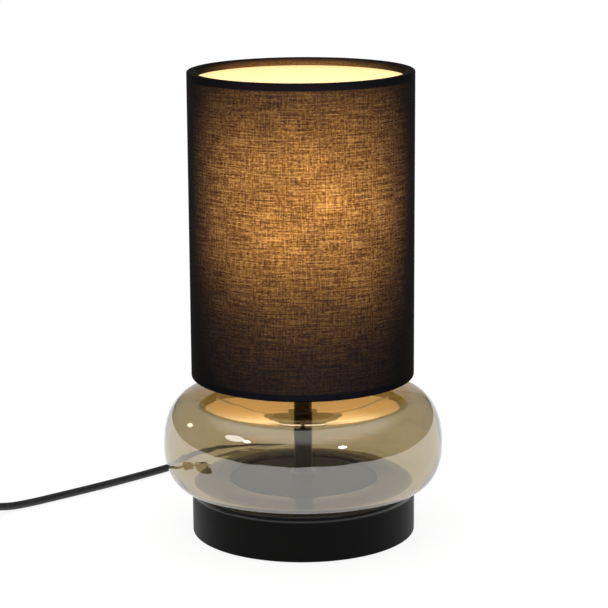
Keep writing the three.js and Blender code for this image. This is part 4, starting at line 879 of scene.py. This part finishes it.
def rounded_foot():
    """The mouth's fire-polished lip, a half circle, and the flat foot outside it."""
    a = np.linspace(0.0, TURN / 2, 9)[1:]
    lip_r = GLASS_WALL / 2
    lip = np.stack([GLASS_MOUTH_R + lip_r - lip_r * np.sin(a), GLASS_BOTTOM + lip_r + lip_r * np.cos(a)], 1)
    return np.vstack([lip, [(FLAT_FOOT_R, GLASS_BOTTOM)]])


outside, inside = glass_outline()
foot_length = line_length(rounded_foot())
finishes["amber_glass"] = amber_glass(foot_length, line_length(outside))
glass = piece(
    "amber_glass_body", turned(np.vstack([outside, inside]), sides=224), "base", "amber_glass", "glass_body")
glass.visible_shadow = False


# Lampholder and bulb

CAP_Z, SLEEVE_H, SHELL_Z, SHELL_H, SHELL_R, SHELL_T = 108.9, 36, 130.3, 21, 13.6, 0.5
THREAD_FOOT, THREAD_STEP = 17, 0.35
BULB_CAP_Z, BULB_CAP_R, BULB_CAP_H, CAP_PITCH, CAP_GROOVE = 135.6, 13.2, 23, 3.6, 0.8
GLOBE_Z, GLOBE_R = 187.5, 22.5

holder_cap = [  # radius, height, corner radius
    (9.8, 0, 0.6), (9.8, 8.5, 1.2), (21.3, 10.7, 0.8), (21.3, 13, 0.6), (19.7, 13, 0.2), (19.7, 12.3, 0.2),
    (9.8, 10.1, 0.4), (ROD_HOLE_R, 10.1, 0.2), (ROD_HOLE_R, 0, 0.2),
]
ringed(
    "holder_cap", [(r, z + CAP_Z, corner) for r, z, corner in holder_cap], "holder_black",
    "lampholder_cap")

MOUTH_R, SLEEVE_BORE_R = SHELL_R + SHELL_T + GAP, 17.4
sleeve = [
    (SLEEVE_R, 0), *rows_of(SLEEVE_R, THREAD_FOOT, SLEEVE_H - 1, THREAD_STEP), (SLEEVE_R, SLEEVE_H),
    (MOUTH_R, SLEEVE_H), (MOUTH_R, SLEEVE_H - 2), (SLEEVE_BORE_R, SLEEVE_H - 2), (SLEEVE_BORE_R, 0),
]
ringed(
    "holder_sleeve", [(r, z + HUB_Z) for r, z in sleeve], "holder_black", "lampholder_sleeve",
    [0.3] + [0] * (len(sleeve) - 6) + [0.7, 0.4, 0.2, 0.2, 0.2],
    change=lambda grid: carved(
        grid, 18.5, thread(HUB_Z + THREAD_FOOT, HUB_Z + SLEEVE_H - 1.5, depth=0.7, pitch=4)))
shell = [
    (SHELL_R + SHELL_T, 0), *rows_of(SHELL_R + SHELL_T, 0.5, SHELL_H - 0.5, THREAD_STEP),
    (SHELL_R + SHELL_T, SHELL_H), (SHELL_R, SHELL_H), (SHELL_R, 0),
]
ringed(
    "holder_screw_shell", [(r, z + SHELL_Z) for r, z in shell], "brass", "lampholder_screw_shell", 0,
    change=lambda grid: carved(
        grid, SHELL_R + 0.4, thread(SHELL_Z + 1, SHELL_Z + SHELL_H - 1, depth=0.3, pitch=CAP_PITCH)))

ringed(
    "bulb_tip", [(0, 131.4), (3.9, 131.4), (4.6, 132.1), (4.6, 132.6), (0, 132.6)], "brass",
    "bulb_tip_contact", 0.3, "bulb", 48)
ringed(
    "bulb_insulator_ring", [(0, 132.9), (4.6, 132.9), (12.4, 135.3), (0, 135.3)], "stem_black",
    "bulb_insulator", 0.4, "bulb", 64)
cap = [
    (0, 0), (BULB_CAP_R - CAP_GROOVE, 0), *rows_of(BULB_CAP_R, 1, BULB_CAP_H - 1, 0.3),
    (BULB_CAP_R, BULB_CAP_H), (11.8, BULB_CAP_H), (11.8, 0.6), (0, 0.6),
]
ringed(
    "bulb_cap", [(r, z + BULB_CAP_Z) for r, z in cap], "nickel", "bulb_screw_cap",
    [0, 0.6] + [0] * (len(cap) - 6) + [0.3, 0.2, 0, 0], "bulb",
    change=lambda grid: carved(
        grid, 12.6, thread(BULB_CAP_Z + 1, BULB_CAP_Z + 4 * CAP_PITCH + 3, CAP_GROOVE, CAP_PITCH)))
globe_angle = np.linspace(math.radians(135), 0, 40)
globe = np.vstack([
    [(0, 158.9), (12.6, 158.9), (12.9, 159.3), (13.0, 162), (13.4, 165.5), (14.2, 168.6)],
    np.stack([GLOBE_R * np.sin(globe_angle), GLOBE_Z + GLOBE_R * np.cos(globe_angle)], 1)])
piece("bulb_glass", turned(globe, sides=96), "bulb", "opal_glass", "bulb_globe")


# Shade

def circle(radius, z, steps=144):
    """Level circle (radius cos a, radius sin a, z)."""
    a = np.arange(steps) * TURN / steps
    return np.stack([radius * np.cos(a), radius * np.sin(a), 0 * a + z], -1)


def curved_strip(inner_r, outer_r, middle, width, low, high, steps=8):
    """A strip bent round the axis: its section is a thin rectangle in (radius, angle), carried upwards."""
    side = np.linspace(-0.5, 0.5, steps + 1) * width
    r = np.repeat([outer_r, inner_r], steps + 1)
    a = middle + np.concatenate([side[::-1], side]) / outer_r
    outline = np.stack([r * np.cos(a), r * np.sin(a)], -1)
    outline = np.stack([np.broadcast_to(outline.mean(0), outline.shape), outline, outline,
                        np.broadcast_to(outline.mean(0), outline.shape)], 1)
    z = np.broadcast_to(np.array([low, low, high, high]), outline.shape[:2])
    return {"points": np.concatenate([outline, z[..., None]], -1) * MM, "rows": True, "columns": False}


FOLD_R = HEM_R + FABRIC_T
cloth_outline = [  # radius, height, corner radius
    (SHADE_R, SHADE_BOTTOM, 1.2), (SHADE_R, SHADE_TOP, 1.2), (HEM_R, SHADE_TOP, 1.6),
    (HEM_R, SHADE_TOP - HEM_H, 0.3), (FOLD_R, SHADE_TOP - HEM_H, 0.3), (FOLD_R, SHADE_TOP - FABRIC_T, 1.0),
    (INNER_R, SHADE_TOP - FABRIC_T, 0.6), (INNER_R, SHADE_BOTTOM + FABRIC_T, 0.6),
    (FOLD_R, SHADE_BOTTOM + FABRIC_T, 2.3), (FOLD_R, SHADE_BOTTOM + HEM_H, 0.3),
    (HEM_R, SHADE_BOTTOM + HEM_H, 0.3), (HEM_R, SHADE_BOTTOM, 3.0),
]
SEAM_W, SEAM_INSET = 9.5, 1.6
cloth = piece(
    "shade_cloth",
    [turned(rounded(cloth_outline, steps=6), sides=256),
     curved_strip(SHADE_R - 0.1, SHADE_R + 0.3, SEAM_ANGLE, SEAM_W, SHADE_BOTTOM + SEAM_INSET,
                  SHADE_TOP - SEAM_INSET)],
    "shade", "shade_fabric", "shade_fabric")
LINING_R, LINING_LOW, LINING_HIGH, LINING_SEAM_W = INNER_R - GAP, 113.2, 309.6, 8
piece(
    "shade_lining_wall",
    [turned(ring_profile(LINING_R, LINING_R - LINING_T, LINING_LOW, LINING_HIGH), sides=192),
     curved_strip(LINING_R - LINING_T - 0.35, LINING_R - LINING_T + 0.05, SEAM_ANGLE, LINING_SEAM_W,
                  LINING_LOW + 0.2, LINING_HIGH - 0.2)],
    "shade", "shade_lining", "shade_lining")

RING_Z = SHADE_BOTTOM + FABRIC_T + GAP + WIRE_R
arm_line = []
for arm in range(3):
    out = towards(TURN / 12 + arm * TURN / 3)
    arm_line.append([out * r + (0, 0, z) for r, z in (
        (22.5, HUB_Z + HUB_T / 2), (27, HUB_Z + HUB_T / 2), (33, HUB_Z - 0.6), (50, 117.1), (66, 113.0),
        (WIRE_RING_R, RING_Z))])
piece(
    "shade_spider",
    [turned(rounded(ring_profile(28.2, SLEEVE_R + RUNNING_GAP, HUB_Z, HUB_Z + HUB_T), 0.5), sides=96),
     tube(circle(WIRE_RING_R, RING_Z), WIRE_R, sides=16, closed=True),
     *[tube(smooth_line(line, per_span=6), 1.35, sides=14) for line in arm_line]],
    "shade", "carrier_white", "shade_carrier")
TOP_RING_Z = SHADE_TOP - FABRIC_T - GAP - WIRE_R
piece(
    "shade_top_wire", tube(circle(WIRE_RING_R, TOP_RING_Z), WIRE_R, sides=16, closed=True),
    "shade", "carrier_white", "shade_top_ring")
GRIPS, GRIP_DEPTH, NUT_Z, NUT_H, NUT_R = 18, 0.35, 124.0, 6, 26.2
ringed(
    "shade_ring_nut", ring_profile(NUT_R, SLEEVE_R + RUNNING_GAP, NUT_Z, NUT_Z + NUT_H), "holder_black",
    "shade_ring", [0.8, 0.8, 0.5, 0.5], "shade_ring", 216,
    change=lambda grid: carved(grid, 24, lambda a, z: GRIP_DEPTH * (1 - np.cos(GRIPS * a))))


# Wires inside

INNER_LOW, ROD_BOTTOM, ROD_TOP, CORE_BOTTOM, WIRE_CORE_R = 6.0, 16.1, 117.4, 121.5, 1.1
inner_bend = ROD_BOTTOM - GAP - INNER_LOW
inner_path = smooth_line([
    (0, y, z) for y, z in (
        (RELIEF_START - GAP, EXIT_Z), (RELIEF_START - 24, (EXIT_Z + INNER_LOW) / 2),
        (2 * inner_bend, INNER_LOW), (inner_bend, INNER_LOW),
        (inner_bend * 0.29, INNER_LOW + inner_bend * 0.29), (0, ROD_BOTTOM),
        (0, ROD_BOTTOM + 2 * CORD_R), (0, (ROD_BOTTOM + ROD_TOP) / 2), (0, ROD_TOP - 1.2))], per_span=8)
piece("lead_inside", tube(inner_path, CORD_R, sides=16, up=(1, 0, 0)), "base", "cord_black", "inner_lead")
for name, side, slot in (("live", -1, "wire_brown"), ("neutral", 1, "wire_blue")):
    wire = smooth_line([(side * x, 0, z) for x, z in (
        (1.25, ROD_TOP - 0.9), (1.4, ROD_TOP), (2.2, (ROD_TOP + CORE_BOTTOM - GAP) / 2), (2.2, 120.1),
        (2.2, CORE_BOTTOM - GAP))], per_span=6)
    piece(name + "_core", tube(wire, WIRE_CORE_R, sides=12, up=(0, 1, 0)), "base", slot, name + "_wire")


# Floor, lights and world

def plain_floor():
    """Pale floor that the camera sees as white but for the object's shadow."""
    f = Finish("pale_floor")
    from_camera, glossy, through = f.rays("Camera", "Glossy", "Transmission")
    seen = (from_camera + glossy + through).ramp(0.0, 1.0)
    plain = f.shade(Base_Color=(0.86, 0.86, 0.86, 1), Roughness=0.9, Specular_IOR_Level=0.0)
    white = f.node("ShaderNodeEmission", None, {"Color": (1, 1, 1, 1), "Strength": FLOOR_WHITE})
    return f.close(f.node(
        "ShaderNodeMixShader", None, {0: seen * FLOOR_SHARE, 1: plain.outputs[0], 2: white.outputs[0]}))


floor_mesh = bpy.data.meshes.new("floor")
floor_corners = [(x * FLOOR_SIZE, y * FLOOR_SIZE, 0) for x, y in ((-1, -1), (1, -1), (1, 1), (-1, 1))]
floor_mesh.from_pydata(floor_corners, [], [(0, 1, 2, 3)])
floor_mesh.materials.append(plain_floor())
floor = bpy.data.objects.new("floor", floor_mesh)
bpy.context.scene.collection.objects.link(floor)

LAMP_AIM = Vector((0, 0, 0.12))
LAMPS = [  # name, place, size, watts, colour
    ("softbox_left", (-1.16, -0.54, 0.95), (0.5, 0.34), 1.1, (1, 1, 1)),
    ("softbox_core", (-1.0, -0.8, 0.95), (0.16, 0.14), 0.4, (1, 1, 1)),
    ("softbox_right", (0.84, -1.22, 0.86), (0.22, 0.18), 0.7, (1, 1, 1)),
    ("softbox_side", (-1.41, 0.66, 0.61), (0.16, 0.2), 0.3, (1, 0.93, 0.72)),
]
for name, spot, size, watts, colour in LAMPS:
    lamp = bpy.data.lights.new(name, "AREA")
    lamp.shape, lamp.size, lamp.size_y = "ELLIPSE", *size
    lamp.energy, lamp.color = watts, colour
    light = bpy.data.objects.new(name, lamp)
    light.location = spot
    light.rotation_euler = (LAMP_AIM - Vector(spot)).to_track_quat("-Z", "Y").to_euler()
    light.visible_transmission = False
    bpy.context.scene.collection.objects.link(light)

world = bpy.data.worlds.new("studio")
bpy.context.scene.world = world
sky = Finish("studio", world)
toward = sky.parts(sky.node("ShaderNodeTexCoord").outputs["Generated"])
from_camera, through, glossy = sky.rays("Camera", "Transmission", "Glossy")
around = (toward[1] * 0.7 - toward[2] * 0.9).ramp(-0.5, 0.35, ROOM_DARK, ROOM_SIDE)
around = around + toward[2].ramp(0.55, 0.85, 0.0, ROOM_ABOVE)
behind = sky.mix(toward[1].ramp(0.95, 0.995), around, ROOM_BEHIND)
level = sky.mix(from_camera + through, sky.mix(glossy, ROOM_LIGHT, behind), 1.0)
background = sky.node("ShaderNodeBackground", None, {"Color": (1, 1, 1, 1), "Strength": level})
sky.node("ShaderNodeOutputWorld", None, {"Surface": background.outputs[0]})

scene = bpy.context.scene
scene.view_settings.view_transform = "Standard"
